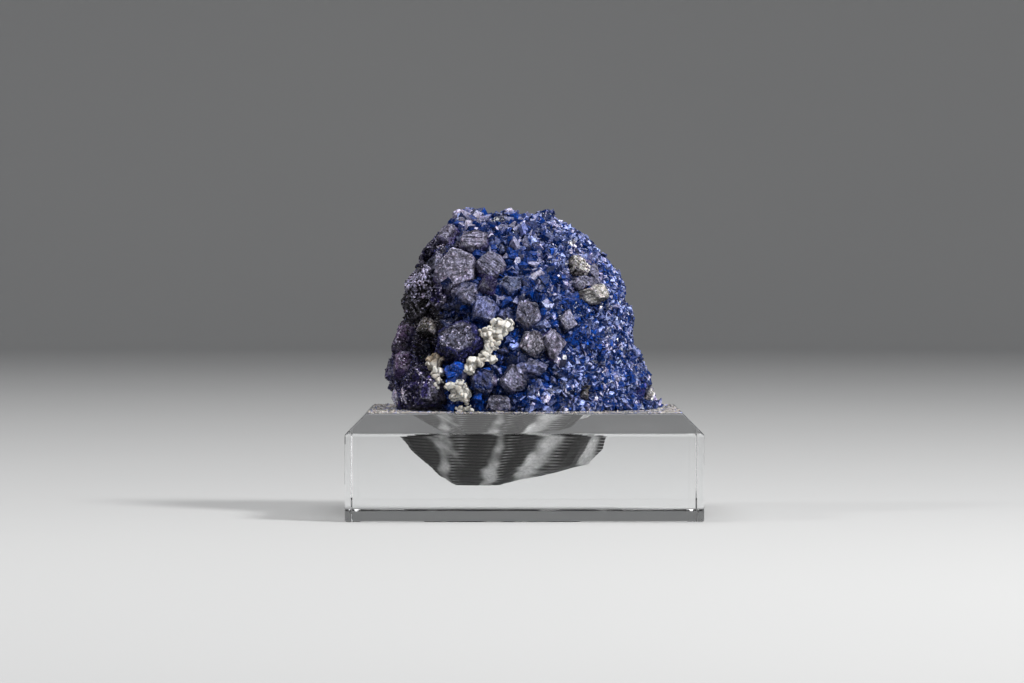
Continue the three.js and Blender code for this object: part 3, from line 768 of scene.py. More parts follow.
def large_crystal(seen, planes, seed, look=None):
    """One large crystal's fine mesh with its tint and frost, and its planes for others to keep clear of."""
    random = np.random.default_rng(seed)
    faces, facing = crystal_form(seen, planes, random)
    middle = seen.mean(0)
    look, turn = (look, random.uniform(0, 180)) if look else looks_of(middle, random)
    corners, rows = indexed(faces)
    skin = [plane_of(corners[row]) for row in rows]
    normals = np.array([normal for normal, _ in skin])
    offsets = np.array([offset for _, offset in skin])
    triangles = fans(rows)
    lowest = (seen @ facing).min() - MESH_DEPTH
    longest = CRYSTAL_EDGE if middle[1] < DISPLAY_BACK and facing[1] < 0.5 else REAR_EDGE
    points, triangles = refined(corners, triangles, longest, lambda spots: spots @ facing > lowest)
    behind = points @ normals.T - offsets
    on = behind > -1e-3
    deep = crystal_relief(points, look, way_on(facing, turn + 90), seed * 7)
    outward = (on[:, :, None] * normals).sum(1)
    outward /= np.maximum((outward**2).sum(1, keepdims=True), 0.6) ** 0.5
    worn = np.exp(-((np.minimum(behind, 0) / WORN_REACH) ** 2))
    edge = worn.sum(1) - 1
    moved = points - outward * np.maximum(deep, -0.1)[:, None]
    moved = moved - WORN_DEPTH * (worn[:, :, None] * normals).sum(1)
    face_tint, foot_tint_and_shade, frost, strength = LOOKS[look]
    rise = (points - middle) @ facing / max(np.ptp(seen @ facing), 1)
    wave = layered(points, 4, seed + 70)
    # Painted shade: darker towards the crystal's foot and on faces that face down.
    lit = 0.25 + 0.75 * ramp(outward[:, 2] + 0.3 * wave, -0.75, -0.05)
    share = ramp(rise + 0.22 * wave, -0.55, 0.35) * lit
    if look == "rimmed":
        inward = -behind[:, normals @ facing < 0.55].max(1)
        share = share * ramp(inward + 0.7 * wave, 0.7, 2.3) * ramp(outward @ facing, 0.2, 0.6)
    tint = blend(foot_tint_and_shade, face_tint, share)
    # Painted light and shade: each face lighter or darker at random.
    bright = on @ random.uniform(*FACE_LIGHT, len(skin)) / np.maximum(on.sum(1), 1)
    bright = np.where(on.any(1), bright, 1)
    tint = tint * bright[:, None] * (1 + 0.22 * wave + 0.14 * layered(points, 1.2, seed + 80))[:, None]
    tint, frost = coloured_relief(tint, frost, points, deep, strength, seed)
    tint = blend(tint, PALE, 0.4 * np.clip(edge - 0.2, 0, 1) * share * frost)
    tint = blend(tint, PALE * 2.2, foot_streaks(points))
    tint = tint * (1 - RECESS_SHADE * in_recess(points))[:, None]
    return {
        "points": moved, "triangles": triangles, "tint": tint, "frost": frost * (0.45 + 0.55 * share),
        "middle": middle, "normals": normals, "offsets": offsets,
    }


# ---------------------------- the crust


def wedge(random, sides, tops, steepest):
    """A crystal form about one wide that points along +Z from its foot, as indexed faces."""
    faces = cube(1.2)
    for side in range(sides):  # upright, or leaning in as they rise
        angle = 2 * math.pi * (side + random.uniform(-0.25, 0.25)) / sides
        normal = unit(np.array([math.cos(angle), math.sin(angle), random.uniform(0.0, 0.35)]))
        faces = clipped(faces, normal, random.uniform(0.36, 0.5))
    start = random.uniform(0, 2 * math.pi)
    for top in range(tops):  # sloping
        angle = start + 2 * math.pi * (top + random.uniform(-0.2, 0.2)) / tops
        steep = math.radians(random.uniform(0.55, 1) * steepest)
        aside = math.sin(steep)
        normal = np.array([aside * math.cos(angle), aside * math.sin(angle), math.cos(steep)])
        faces = clipped(faces, normal, random.uniform(0.22, 0.34))
    faces = clipped(faces, np.array([0, 0, -1.0]), 0.5)
    return indexed(faces)


def turned(axes, spins, tilts, leans):
    """Rotations that take +Z to each axis leaned away by its tilt towards lean, after a spin about it."""
    helper = np.where(np.abs(axes[:, 2:]) < 0.9, np.array([0, 0, 1.0]), np.array([1.0, 0, 0]))
    right = unit(np.cross(helper, axes))
    up = np.cross(axes, right)
    axis = axes + (np.cos(leans)[:, None] * right + np.sin(leans)[:, None] * up) * np.tan(tilts)[:, None]
    axis = unit(axis)
    right = unit(np.cross(helper, axis))
    up = np.cross(axis, right)
    cos, sin = np.cos(spins)[:, None], np.sin(spins)[:, None]
    return np.stack([cos * right + sin * up, cos * up - sin * right, axis], axis=2)


def chosen(which, *arrays):
    """Those rows of each array."""
    return [array[which] for array in arrays]


def tree_of(points):
    """A tree that finds the nearest of the points."""
    tree = KDTree(len(points))
    for number, point in enumerate(points):
        tree.insert(point, number)
    tree.balance()
    return tree


def spread(points, widths, share, order):
    """Which of the points to keep, in this order, so that none is nearer another than share of its width."""
    tree = tree_of(points)
    open_places = np.ones(len(points), bool)
    kept = []
    for number in order:
        if not open_places[number]:
            continue
        kept.append(number)
        for _, other, _ in tree.find_range(points[number], widths[number] * share):
            open_places[other] = False
    return np.array(kept)


def sampled(corners, triangles, normals, lowest, count, random):
    """Points spread evenly over what is above the lowest height of a surface, with their normals."""
    _, areas = normals_of(corners, triangles)
    shares = areas * (corners[triangles].mean(1)[:, 2] > lowest)
    picked = random.choice(len(triangles), count, p=shares / shares.sum())
    weights = random.dirichlet((1, 1, 1), count)
    return [
        (values[triangles[picked]] * weights[:, :, None]).sum(1) for values in (corners, normals)
    ]


def scattered(forms, points, axes, sizes, random, lean=0.45):
    """Crystals of these forms at the points: corners, one run of corner places, face sizes, and for each
    face corner which crystal it is on, which face of its crystal and how high up it, from 0 to 1."""
    count = len(points)
    turns = turned(
        axes,
        random.uniform(0, 2 * math.pi, count),
        np.abs(random.normal(0, lean, count)).clip(0, 1.1),
        random.uniform(0, 2 * math.pi, count),
    )
    kind = random.integers(len(forms), size=count)
    parts, start = [], 0
    for number, (corners, rows) in enumerate(forms):
        members = np.flatnonzero(kind == number)
        if len(members) == 0:
            continue
        shape = corners[None] * sizes[members, None, :]
        placed = np.einsum("mij,mnj->mni", turns[members], shape) + points[members, None, :]
        flat = np.concatenate(rows)
        loops = start + flat[None] + len(corners) * np.arange(len(members))[:, None]
        face_sizes = np.tile([len(row) for row in rows], len(members))
        face = np.concatenate([np.full(len(row), place) for place, row in enumerate(rows)])
        height = (corners[:, 2] - corners[:, 2].min()) / np.ptp(corners[:, 2])
        parts.append((
            placed.reshape(-1, 3), loops.ravel(), face_sizes,
            np.repeat(members, len(flat)), np.tile(face, len(members)), np.tile(height[flat], len(members)),
        ))
        start += placed.shape[0] * placed.shape[1]
    return [np.concatenate(part) for part in zip(*parts)]


def in_druse(points):
    """How far each point is in the mauve sugary part at the left of the display side, from 0 to 1."""
    x, y, height = places(points)
    edge = 3 * lumps(points, 9, 331)
    return ramp(edge - x, 29, 37) * ramp(-y, -24, -10) * ramp(-height, -84, -74)


def among_large(points):
    """How far each point is among the large crystals of the display side, from 0 to 1."""
    x, y, height = places(points)
    across = ramp(x, -42, -34) * ramp(-x, -2, 10)
    return across * ramp(-y, -8, 4) * ramp(-height, -74, -62)


def in_coarse(points):
    """How far each point is in the coarse crust at the upper middle of the display side, from 0 to 1."""
    x, y, height = places(points)
    across = ramp(-x - 0.12 * height, -26, -10)
    return across * ramp(-y, -4, 6) * ramp(height, 34, 48) * (1 - in_druse(points))


def crust_width(points, random):
    """How wide the crust's crystals are there: fine on the right, coarse at the middle and top."""
    x, y, height = places(points)
    fine = 4.1 - 1.5 * ramp(x + 0.12 * height, 2, 30)
    rear = 2.7 + 0.9 * lumps(points, 22, 301)
    fine = fine + np.maximum(1.9 * among_large(points), 0.5 * in_coarse(points))
    share = ramp(y, -2, 14)
    return (fine * (1 - share) + rear * share) * random.uniform(0.6, 1.3, len(points))


DRUSE_DARK, DRUSE_PALE = 43, 57  # middle heights of a dark and a pale band in the druse
STAINED_SHARE = 0.75  # share of the crystals in a coloured place that take its colour
# Coloured places on the display side: x, height above the block, half width, half height, colour.
STAINS = [
    (-57.5, 5.5, 3.2, 6.5, LILAC),
    (-53.0, 29.0, 5.0, 9.0, PLUM * 1.8),
    (-30.5, 18.5, 3.5, 3.0, COBALT * 1.15),
    (-17.0, 18.5, 3.0, 2.5, COBALT * 1.3),
    (-19.5, 4.5, 2.6, 2.2, COBALT * 1.15),
    (-21.0, 34.5, 5.0, 2.6, COBALT * 1.2),
    (-12.0, 48.0, 4.0, 6.0, COBALT * 0.9),
    (54.0, 6.5, 2.6, 3.2, CREAM * 1.3),
    (49.6, 8.5, 2.4, 5.0, MAUVE * 0.7),
    (26.4, 8.5, 2.6, 4.5, BEIGE * 0.35),
    # A painted glint on a small crystal.
    (20.6, 71.4, 1.6, 1.8, CREAM * 1.2),
    (25.5, 56.5, 8.5, 10.5, (GREY + PLUM) * 0.6),
    (-28.5, 41.5, 3.8, 2.6, LILAC * 0.9),
    (-41.5, 26.0, 2.4, 2.0, LAVENDER),
    (24.0, 31.0, 9.0, 5.0, COBALT * 0.9),
    (22.0, 44.0, 8.0, 4.0, COBALT * 0.8),
    (-8.0, 35.0, 7.0, 5.0, COBALT * 0.8),
    (2.0, 62.0, 7.0, 5.0, COBALT * 0.6),
    (10.0, 57.0, 4.0, 9.0, COBALT * 0.55),
    (-27.0, 80.0, 10.0, 6.0, LILAC * 0.5),
    (-33.5, 71.5, 5.0, 6.0, (PALE + PLUM) * 0.4),
]


def stained(tint, points, random):
    """The tints, with those of the coloured places."""
    for *oval, colour in STAINS:
        share = ramp(-off_oval(points, oval), -1.15, -0.75) * (points[:, 1] < 0)
        tint = blend(tint, colour, share * (random.uniform(0, 1, len(points)) < STAINED_SHARE))
    return tint


def crust_tints(points, random, fine):
    """Each crystal's face colour, and how frosted it is."""
    height = points[:, 2] - BLOCK_TOP
    nest, druse, coarse = among_large(points), in_druse(points), in_coarse(points)
    pick = random.uniform(0, 1, len(points)) + 0.16 * lumps(points, 7, 311) - (0.22 if fine else 0.12) * nest
    tint = blend(LAVENDER, LILAC * 1.1, ramp(pick, 0.76, 0.98))
    tint = blend(tint, GREY * (0.9, 0.95, 1.1), ramp(-pick, -0.45, -0.38) * 0.8)
    if not fine:
        # Painted shade: coarse crystals among the large ones are darker.
        tint = blend(tint, LAVENDER * 0.55, nest * 0.4)
    tint = blend(tint, COBALT * 0.6, 1 - ramp(pick, 0.32, 0.44))
    tint = blend(tint, MAUVE * 0.55, druse * random.uniform(0.8, 1, len(points)))
    low = druse * ramp(-np.abs(height - DRUSE_DARK), -12, -7)
    high = druse * ramp(-np.abs(height - DRUSE_PALE), -8, -5)
    tint = blend(tint, CHARCOAL * 0.15, low)
    tint = blend(tint, PALE * 0.75, high * (random.uniform(0, 1, len(points)) < 0.5))
    tint = stained(tint, points, random)
    # Painted shade among the large crystals: darker and bluer there.
    tint = blend(tint * (1 - 0.5 * nest)[:, None], COBALT * 1.1, 0.5 * nest * (1 - druse))
    tint = tint * (1 - RECESS_SHADE * in_recess(points))[:, None]
    if fine:
        tint = blend(tint, COBALT * 0.4, 0.65 * coarse)
    else:
        tint = blend(tint, PALE * 1.05, 0.55 * coarse * (pick > 0.50))
    uneven = random.normal(0.0, 0.32, (len(points), 1)) + 0.15 * layered(points, 16, 341)[:, None]
    tint = tint * np.exp(uneven)
    frost = np.maximum(0.8 * ramp(pick, 0.25, 0.75) * random.uniform(0.4, 1, len(points)), druse)
    return tint, frost


def crust_piece(name, material, parts, centres, random, fine):
    """One sector of the crust as a piece, its crystals going from deep blue feet to their own tints: the feet
    partly their blue and partly painted shade, and each face lighter or darker with painted light and shade.
    """
    corners, loops, sizes, crystal, face, height = parts
    tints, frosts = crust_tints(centres, random, fine)
    druse = in_druse(centres)[crystal]
    cells = np.stack([crystal, face, np.zeros_like(face)], axis=1)
    own = scrambled(cells, 5)
    # Painted shade: darker towards each crystal's foot, and on many faces.
    lit = ramp(height + 0.7 * (own - 0.5), 0.3, 0.9)
    foot = blend(blend(DEEP * 0.7, COBALT * 0.65, scrambled(cells, 6)), CHARCOAL * 0.5, druse)
    share = lit * np.maximum(0.12 + 0.88 * ramp(own, 0.3, 0.6), druse)
    # Painted light and shade: each face lighter or darker at random.
    tint = blend(foot, tints[crystal], share) * (0.6 + 0.75 * own)[:, None]
    frost = frosts[crystal] * (0.3 + 0.7 * lit)
    piece = new_piece(name, corners, loops, sizes, [material])
    paint(piece, "CORNER", tint, frost)
    return standing(piece)


# ---------------------------- build the stone


def distances_to(trees, points, most):
    """How far each point is from the nearest of the surfaces, up to most."""
    result = np.full(len(points), float(most))
    for number, point in enumerate(points):
        for tree in trees:
            hit = tree.find_nearest(Vector(point), most)
            if hit[0] is not None:
                result[number] = min(result[number], hit[3])
    return result


def standing(piece, *replaced):
    """Rides the piece on the one body, in place of the CAD nodes given."""
    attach(piece, "root")
    if replaced:
        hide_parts(*replaced)
    return piece


fluorite_fine = stone_material("fluorite_crust", glow=0.10, grain=0.5, facets=0.7)
fluorite_large = stone_material("fluorite_large", glow=0.04, grain=0.8, facets=1.5)

stone_corners, stone_triangles = solid("fluorite_cluster")


def skin_of(corners, triangles):
    """A tree that finds the nearest place on a surface, and where a ray meets it."""
    return BVHTree.FromPolygons([Vector(c) for c in corners], [tuple(t) for t in triangles.tolist()])


STONE_SKIN = skin_of(stone_corners, stone_triangles)
BLOCK_SKIN = skin_of(*solid("acrylic_block"))
calcite_trees = [skin_of(*solid(name)) for name in CALCITES]
found = crystal_planes(
    stone_corners, stone_triangles,
    lambda points: distances_to(calcite_trees, points, CALCITE_MARGIN + 0.1) < CALCITE_MARGIN,
)
found = [form for form in found if looks_of(form[0].mean(0), None)[0] != "crust"]
crystals = [large_crystal(seen, planes, 100 + number) for number, (seen, planes) in enumerate(found)]
for number, (x, height, wide, look) in enumerate(LESSER_CRYSTALS):
    form = small_crystal(x, height, wide, np.random.default_rng(300 + number))
    crystals.append(large_crystal(*form, 300 + number, look))


CRYSTAL_REACH = 26  # a crystal is looked at only from as near its middle as this
FAR_OUTSIDE = -99.0  # the depth in them of what is near none


def depth_in_crystals(points):
    """How deep each point is in the large crystals, under 0 outside them."""
    deepest = np.full(len(points), FAR_OUTSIDE)
    for crystal in crystals:
        near = np.linalg.norm(points - crystal["middle"], axis=1) < CRYSTAL_REACH
        behind = -(points[near] @ crystal["normals"].T - crystal["offsets"]).max(1)
        deepest[near] = np.maximum(deepest[near], behind)
    return deepest


STONE_VOXEL, CALCITE_VOXEL = 1.15, 0.38  # the squares that the rough body and the calcite are remade in
BODY_SET_IN, DRUSE_SET_IN = 1.4, 0.6  # how far the stone's own skin lies under the tips of its crust
UNDER_CRYSTAL = 1.7  # how much further it lies under the large crystals
KEEL_SET_IN = 0.12  # how far it lies in below the block's top face
DISPLAY_HALVES = 46  # height above the block that parts the large crystals of the display side

body_corners, body_triangles = voxel_skin(stone_corners, stone_triangles, STONE_VOXEL)
body_normals = corner_normals(smoothed(body_corners, body_triangles, 3), body_triangles)
above = ramp(body_corners[:, 2], BLOCK_TOP + 0.6, BLOCK_TOP + 3)
druse = in_druse(body_corners)
inset = BODY_SET_IN + (DRUSE_SET_IN - BODY_SET_IN) * druse
inset = inset + 0.6 * layered(body_corners, 8, 201) + 0.2 * lumps(body_corners, 1.7, 205)
inset = inset + UNDER_CRYSTAL * ramp(depth_in_crystals(body_corners), -1.8, 0.3)
inset = inset + RECESS_DEPTH * in_recess(body_corners)
body_points = body_corners - body_normals * (above * inset + (1 - above) * KEEL_SET_IN)[:, None]
stone_body = triangle_piece("stone_body", body_points, body_triangles, [fluorite_fine])
hue = ramp(layered(body_points, 6, 211), -0.6, 0.8)
# Painted shade: a little darker among the large crystals.
body_tint = blend(DEEP, COBALT * 0.5, hue) * (1 - 0.2 * among_large(body_points))[:, None]
body_tint = blend(body_tint, CHARCOAL * 0.4, in_druse(body_points))
body_tint = body_tint * (1 - RECESS_SHADE * in_recess(body_corners))[:, None]
body_tint = blend(MATRIX_ROCK, body_tint, ramp(body_points[:, 2], BLOCK_TOP - 2.5, BLOCK_TOP + 0.5))
paint(stone_body, "POINT", body_tint, 0.2 + 0.5 * (1 - above))
standing(stone_body, "fluorite_cluster")


def join_crystals(name, members):
    """Large crystals as one piece."""
    points, triangles, tints, frosts = (
        [crystal[key] for crystal in members] for key in ("points", "triangles", "tint", "frost")
    )
    starts = np.cumsum([0] + [len(part) for part in points])
    triangles = np.concatenate([part + start for part, start in zip(triangles, starts)])
    piece = triangle_piece(name, np.concatenate(points), triangles, [fluorite_large], False)
    paint(piece, "POINT", np.concatenate(tints), np.concatenate(frosts))
    return standing(piece)


on_display = [crystal for crystal in crystals if crystal["middle"][1] < DISPLAY_BACK]
parting = BLOCK_TOP + DISPLAY_HALVES
join_crystals("large_crystals_display_upper", [c for c in on_display if c["middle"][2] > parting])
join_crystals("large_crystals_display_lower", [c for c in on_display if c["middle"][2] <= parting])
join_crystals("large_crystals_rear", [c for c in crystals if c["middle"][1] >= DISPLAY_BACK])

random = np.random.default_rng(77)
crust_normals = corner_normals(smoothed(body_points, body_triangles, 12), body_triangles)


def crust_places(count, lowest, width_of, fits, spacing, clearance):
    """Where crystals of the crust stand, as points, outward ways and widths, thinned out of count points.

    Lowest is a height above the block; spacing, and clearance from the calcite, are in widths."""
    points, axes = sampled(body_points, body_triangles, crust_normals, BLOCK_TOP + lowest, count, random)
    widths = width_of(points, random)
    points, axes, widths = chosen(fits(points, widths), points, unit(axes), widths)
    order = random.permutation(len(points))
    points, axes, widths = chosen(spread(points, widths, spacing, order), points, axes, widths)
    clear = distances_to(calcite_trees, points, 3) > clearance * widths
    return chosen(clear, points, axes, widths)


CRUST_LENGTH = (0.75, 1.2)  # how long its crystals are, in their widths
SECTORS = {
    "front_right": lambda p: (p[:, 1] < 4) & (p[:, 0] >= 8),
    "front_left": lambda p: (p[:, 1] < 4) & (p[:, 0] < 8),
    "rear_right": lambda p: (p[:, 1] >= 4) & (p[:, 0] >= 0),
    "rear_left": lambda p: (p[:, 1] >= 4) & (p[:, 0] < 0),
}


def crust_layer(name, forms, points, axes, widths, sunk, fine):
    """One layer of the crust, as a piece for each sector of the stone."""
    long = random.uniform(*CRUST_LENGTH, len(points))
    sizes = np.stack([widths, widths * random.uniform(0.65, 1, len(points)), widths * long], axis=1)
    for sector, inside in SECTORS.items():
        members = inside(points)
        centres = points[members] - axes[members] * sunk * widths[members, None]
        parts = scattered(forms, centres, axes[members], sizes[members], random)
        crust_piece(name + "_" + sector, fluorite_fine, parts, centres, random, fine)


def wedges(*kinds):
    """Three forms of each kind, given as its sides, its top faces and their steepness in degrees."""
    return [wedge(random, *kind) for kind in kinds for _ in range(3)]


COARSE_CLEAR, FINE_CLEAR = 0.22, 0.36  # how far off others a crystal is, in widths of the coarse one


def coarse_fits(points, widths):
    """Whether a coarse crystal is clear of the large crystals."""
    return depth_in_crystals(points) < -COARSE_CLEAR * widths


def fine_width(points, random):
    """Fine crystals between the others, finest in the druse."""
    return (1.75 - 0.6 * in_druse(points)) * random.uniform(0.6, 1.25, len(points))


def fine_fits(points, _):
    """Whether a fine crystal is clear of the coarse and the large ones. Fewer are among the coarsest."""
    nearest = [crust_tree.find(point) for point in points]
    free = np.array([away > FINE_CLEAR * coarse_widths[number] for _, number, away in nearest])
    free &= depth_in_crystals(points) < -0.1
    return free & (random.uniform(0, 1, len(points)) > 0.45 * in_coarse(points))


coarse_forms = wedges((3, 3, 58), (4, 3, 56), (3, 3, 50), (4, 2, 50), (4, 2, 42), (5, 1, 30), (4, 3, 46))
fine_forms = wedges((3, 1, 40), (3, 2, 50), (3, 3, 58), (4, 1, 35))
points, axes, widths = crust_places(
    90000, lowest=0.7, width_of=crust_width, fits=coarse_fits, spacing=0.50, clearance=0.4
)
bare = in_druse(points) < random.uniform(0.2, 0.7, len(points))
points, axes, widths = chosen(bare, points, axes, widths)
crust_layer("crust", coarse_forms, points, axes, widths, sunk=0.08, fine=False)
crust_tree, coarse_widths = tree_of(points), widths
fine = crust_places(110000, lowest=0.5, width_of=fine_width, fits=fine_fits, spacing=0.66, clearance=0.3)
crust_layer("fine_crust", fine_forms, *fine, sunk=0.05, fine=True)

# ---------------------------- calcite

CALCITE_GRAIN = 2.9  # how wide its grains are
cream = calcite_material()
for number, name in enumerate(CALCITES):
    corners, triangles = voxel_skin(*solid(name), CALCITE_VOXEL)
    corners = smoothed(corners, triangles, 4)
    normals = corner_normals(corners, triangles)
    gap, own, lean = grains(corners, CALCITE_GRAIN, 400 + number)
    bulge = 2.8 * lean + 0.8 * own - 0.8 * np.exp(-((gap / 0.14) ** 2)) - 0.35
    bulge = bulge + 0.08 * layered(corners, 1.3, 410 + number)
    piece = triangle_piece(name + "_grains", corners + normals * bulge[:, None], triangles, [cream])
    brown = 1.0 if name == "calcite_left" else 0.15
    shade = blend(np.ones(3), CALCITE_BROWN, brown * ramp(layered(corners, 5, 420), -0.6, 0.5))
    # Painted shade: darker in the grooves between grains.
    shade = shade * (1 - 0.45 * np.exp(-((gap / 0.16) ** 2)))[:, None]
    paint(piece, "POINT", shade, np.full(len(corners), 0.5))
    standing(piece, name)

# ---------------------------- the block

EDGE_ROUND = 0.7  # how far in the block's edges are rounded
SEAT_INSIDE, SEAT_LOWEST = 9, 5  # the seat is this far in from the block's sides, and above this height
SEAT_TURNS, SEAT_STEP = 300, 0.26  # columns round the seat, and the height of one row of its mesh
TOOL_PITCH, TOOL_DEPTH = 1.3, 0.25  # step-over of the mill, and how deep each pass is
FLUTE_PITCH, FLUTE_DEPTH, FLUTE_START = 20.5, 1.6, -8.6  # grooves of the roughing cuts, and where one begins
SEAT_KEEL = -26.0  # the grooves lean away from this x as they rise
FLUTE_LEAN, FLUTE_SPREAD = 0.55, 10  # how far for each millimetre up, and how near that x the lean fades
FLUTE_MIDDLE = 9  # depth under the block's top face where the lean moves no groove
FLUTE_SHIFT = 0.44  # the grooves at the left are moved by this share of a pitch:
SHIFT_FROM, SHIFT_TO = 12, 36  # by nothing at minus the first x, and by all of it at minus the second
FLUTE_TURN = 0.385  # phase of all the grooves
LID_RISE = 4  # how far the cutter stands out of the block


def block_shape():
    """The block's outline with softly rounded edges, as a mesh."""
    corners, _ = solid("acrylic_block")
    ways = [(x, y, z) for x in (-1, 1) for y in (-1, 1) for z in (-0.35, 0.1, 4.0)]  # foot, bevel and top
    outer = [corners[np.argmax(corners @ np.array(way))] for way in ways]
    form = bmesh.new()
    for corner in outer:
        form.verts.new(Vector(corner) * MM)
    bmesh.ops.convex_hull(form, input=form.verts)
    bmesh.ops.dissolve_limit(form, angle_limit=0.01, verts=form.verts, edges=form.edges)
    bmesh.ops.bevel(
        form, geom=form.edges[:], offset=EDGE_ROUND * MM, segments=3, profile=0.5, affect="EDGES",
        clamp_overlap=True,
    )
    mesh = bpy.data.meshes.new("acrylic_form")
    form.to_mesh(mesh)
    form.free()
    return mesh


def seat_rings():
    """The seat's axis, the ways round it, and how far off the CAD's wall is each way, from its floor up."""
    corners, _ = solid("acrylic_block")
    inside = (np.abs(corners[:, :2]) < np.abs(BLOCK_HIGH[:2]) - SEAT_INSIDE).all(1)
    inner = corners[inside & (corners[:, 2] > SEAT_LOWEST)]
    floor = inner[inner[:, 2] < inner[:, 2].min() + 0.3]
    mouth = inner[inner[:, 2] > BLOCK_TOP - 0.05]
    low, high = floor.mean(0), mouth.mean(0)
    heights = np.arange(low[2] + 0.08, BLOCK_TOP - 0.05, SEAT_STEP)
    turns = np.arange(SEAT_TURNS) * 2 * math.pi / SEAT_TURNS
    radii = np.zeros((len(heights), SEAT_TURNS))
    axis = np.array([low + (high - low) * (z - low[2]) / (high[2] - low[2]) for z in heights])
    axis[:, 2] = heights
    for row, start in enumerate(axis):
        for column, turn in enumerate(turns):
            hit = BLOCK_SKIN.ray_cast(Vector(start), Vector((math.cos(turn), math.sin(turn), 0)))
            radii[row, column] = hit[3] if hit[0] is not None else np.nan
    return axis, turns, radii


def softened(values, columns, rows):
    """Values on a grid of rings, averaged over so many columns round and rows up on each side."""
    wide = sum(np.roll(values, step, axis=1) for step in range(-columns, columns + 1)) / (2 * columns + 1)
    padded = np.pad(wide, ((rows, rows), (0, 0)), mode="edge")
    return sum(padded[step:step + len(values)] for step in range(2 * rows + 1)) / (2 * rows + 1)


def flute_phase(x, height):
    """Where each point of the seat's wall is in its grooves, half a turn of phase to each groove."""
    lean = FLUTE_LEAN * np.tanh((x - SEAT_KEEL) / FLUTE_SPREAD)
    across = x + lean * (BLOCK_TOP - FLUTE_MIDDLE - height)
    shift = FLUTE_SHIFT * ramp(-across, SHIFT_FROM, SHIFT_TO)
    return math.pi * ((across - FLUTE_START) / FLUTE_PITCH + shift) + FLUTE_TURN


def tool_pass(turns, height):
    """How far into its groove each point is in the mill's level passes, from 0 at their ridges to 1."""
    wobble = 0.35 * np.sin(3 * turns + 1) + 0.2 * np.sin(7 * turns)
    return np.abs(np.sin(math.pi * (height / TOOL_PITCH + wobble)))


def seat_cutter(axis, turns, radii):
    """The closed tool that cuts the seat: the CAD's wall, softened, with the mill's grooves and passes."""
    height = axis[:, 2:]
    usual = np.median([np.roll(radii, step, axis=1) for step in range(-4, 5)], axis=0)
    radii = np.where(np.abs(radii - usual) < 0.5, radii, usual)
    wall = np.maximum(softened(softened(radii, 4, 4), 3, 3), radii + 0.05)
    groove = np.abs(np.sin(flute_phase(axis[:, :1] + radii * np.cos(turns), height)))
    passes = tool_pass(turns, height)
    wall = wall + FLUTE_DEPTH * groove + TOOL_DEPTH * passes
    way = np.stack([np.cos(turns), np.sin(turns), np.zeros_like(turns)], axis=1)
    rings = axis[:, None, :] + wall[:, :, None] * way
    lid = rings[-1] + (0, 0, LID_RISE)
    points = np.concatenate([rings, lid[None]]).reshape(-1, 3)
    rounds = len(axis)  # rows of faces: the rings with the lid are one more
    bottom = np.arange(SEAT_TURNS)[::-1]
    top = rounds * SEAT_TURNS + np.arange(SEAT_TURNS)
    loops = np.concatenate([between_rings(rounds + 1, SEAT_TURNS).ravel(), bottom, top])
    sizes = [4] * (rounds * SEAT_TURNS) + [SEAT_TURNS, SEAT_TURNS]
    return new_piece("seat_cutter", points, loops, sizes, [])


def clear_acrylic():
    """The clear polished faces."""
    shader = Shader("clear_acrylic", IOR=ACRYLIC_IOR, Transmission_Weight=1.0, Roughness=0.0)
    haze = shader.bump(shader.noise(14, detail=2), 0.02, 0.5)
    return shader.finish(Base_Color=(0.985, 0.993, 0.995), Normal=haze)


def milled_seat():
    """The frosted seat, with its streaks of painted light and shade."""
    shader = Shader("milled_seat", IOR=ACRYLIC_IOR, Transmission_Weight=0.02, Specular_IOR_Level=0.1)
    scatter = shader.ranged(shader.noise(1.5, detail=5), 0.3, 0.7, 0.7, 1.2)
    tone = shader.scaled(shader.attribute("tint", "Color"), scatter)
    marks = shader.bump(shader.noise(0.5, detail=4), 0.5, 0.12)
    gloss = shader.ranged(shader.noise(1.2), 0.3, 0.7, 0.28, 0.5)
    return shader.finish(Base_Color=tone, Normal=marks, Roughness=gloss)


def dusty_top():
    """The top face, clear with a thin film of dust."""
    shader = Shader("dusty_top", IOR=ACRYLIC_IOR, Transmission_Weight=0.8)
    motes = shader.ranged(shader.noise(0.7, detail=6, sharp=0.75), 0.52, 0.62, 0, 1)
    patches = shader.ranged(shader.noise(18, detail=3), 0.4, 0.65, 0.1, 1)
    cloud = shader.maths("MULTIPLY", motes, patches)
    return shader.finish(
        Base_Color=shader.mixed(cloud, (0.97, 0.98, 0.98), (0.52, 0.50, 0.46)),
        Roughness=shader.ranged(cloud, 0, 1, 0.03, 0.6),
        Normal=shader.bump(motes, 0.3, 0.1),
    )


def cut_by(block, cutter):
    """Takes the cutter out of the block, and removes it."""
    cut = block.modifiers.new("seat", "BOOLEAN")
    cut.operation = "DIFFERENCE"
    cut.object = cutter
    cut.solver = "EXACT"
    bpy.context.view_layer.update()
    made = bpy.data.meshes.new_from_object(block.evaluated_get(bpy.context.evaluated_depsgraph_get()))
    block.modifiers.clear()
    block.data = made
    bpy.data.objects.remove(cutter)
    return made


def seat_light_and_shade(corners, axis):
    """How light each point of the seat's wall is painted: painted light on one flank of each groove, painted
    shade on the other, hatched by the passes with painted highlights along their ridges.
    """
    start = np.stack([np.interp(corners[:, 2], axis[:, 2], axis[:, side]) for side in (0, 1)], axis=1)
    way = np.arctan2(corners[:, 1] - start[:, 1], corners[:, 0] - start[:, 0])
    cloud = layered(corners, 9, 501)
    phase = 2 * flute_phase(corners[:, 0], corners[:, 2]) + 0.8 + 1.3 * layered(corners, 16, 507)
    flank = 0.5 + 0.5 * np.sin(phase)
    ridge = (1 - tool_pass(way, corners[:, 2])) ** 3
    tone = 1.2 * ramp(flank + 0.3 * cloud, 0.5, 1.15) ** 1.3 + 0.07 * ridge
    hatch = np.exp(-(((flank - 0.45) / 0.3) ** 2)) * (0.12 + 0.88 * ramp(-np.cos(phase), 0.1, 0.7))
    return tone + 1.0 * hatch * ridge


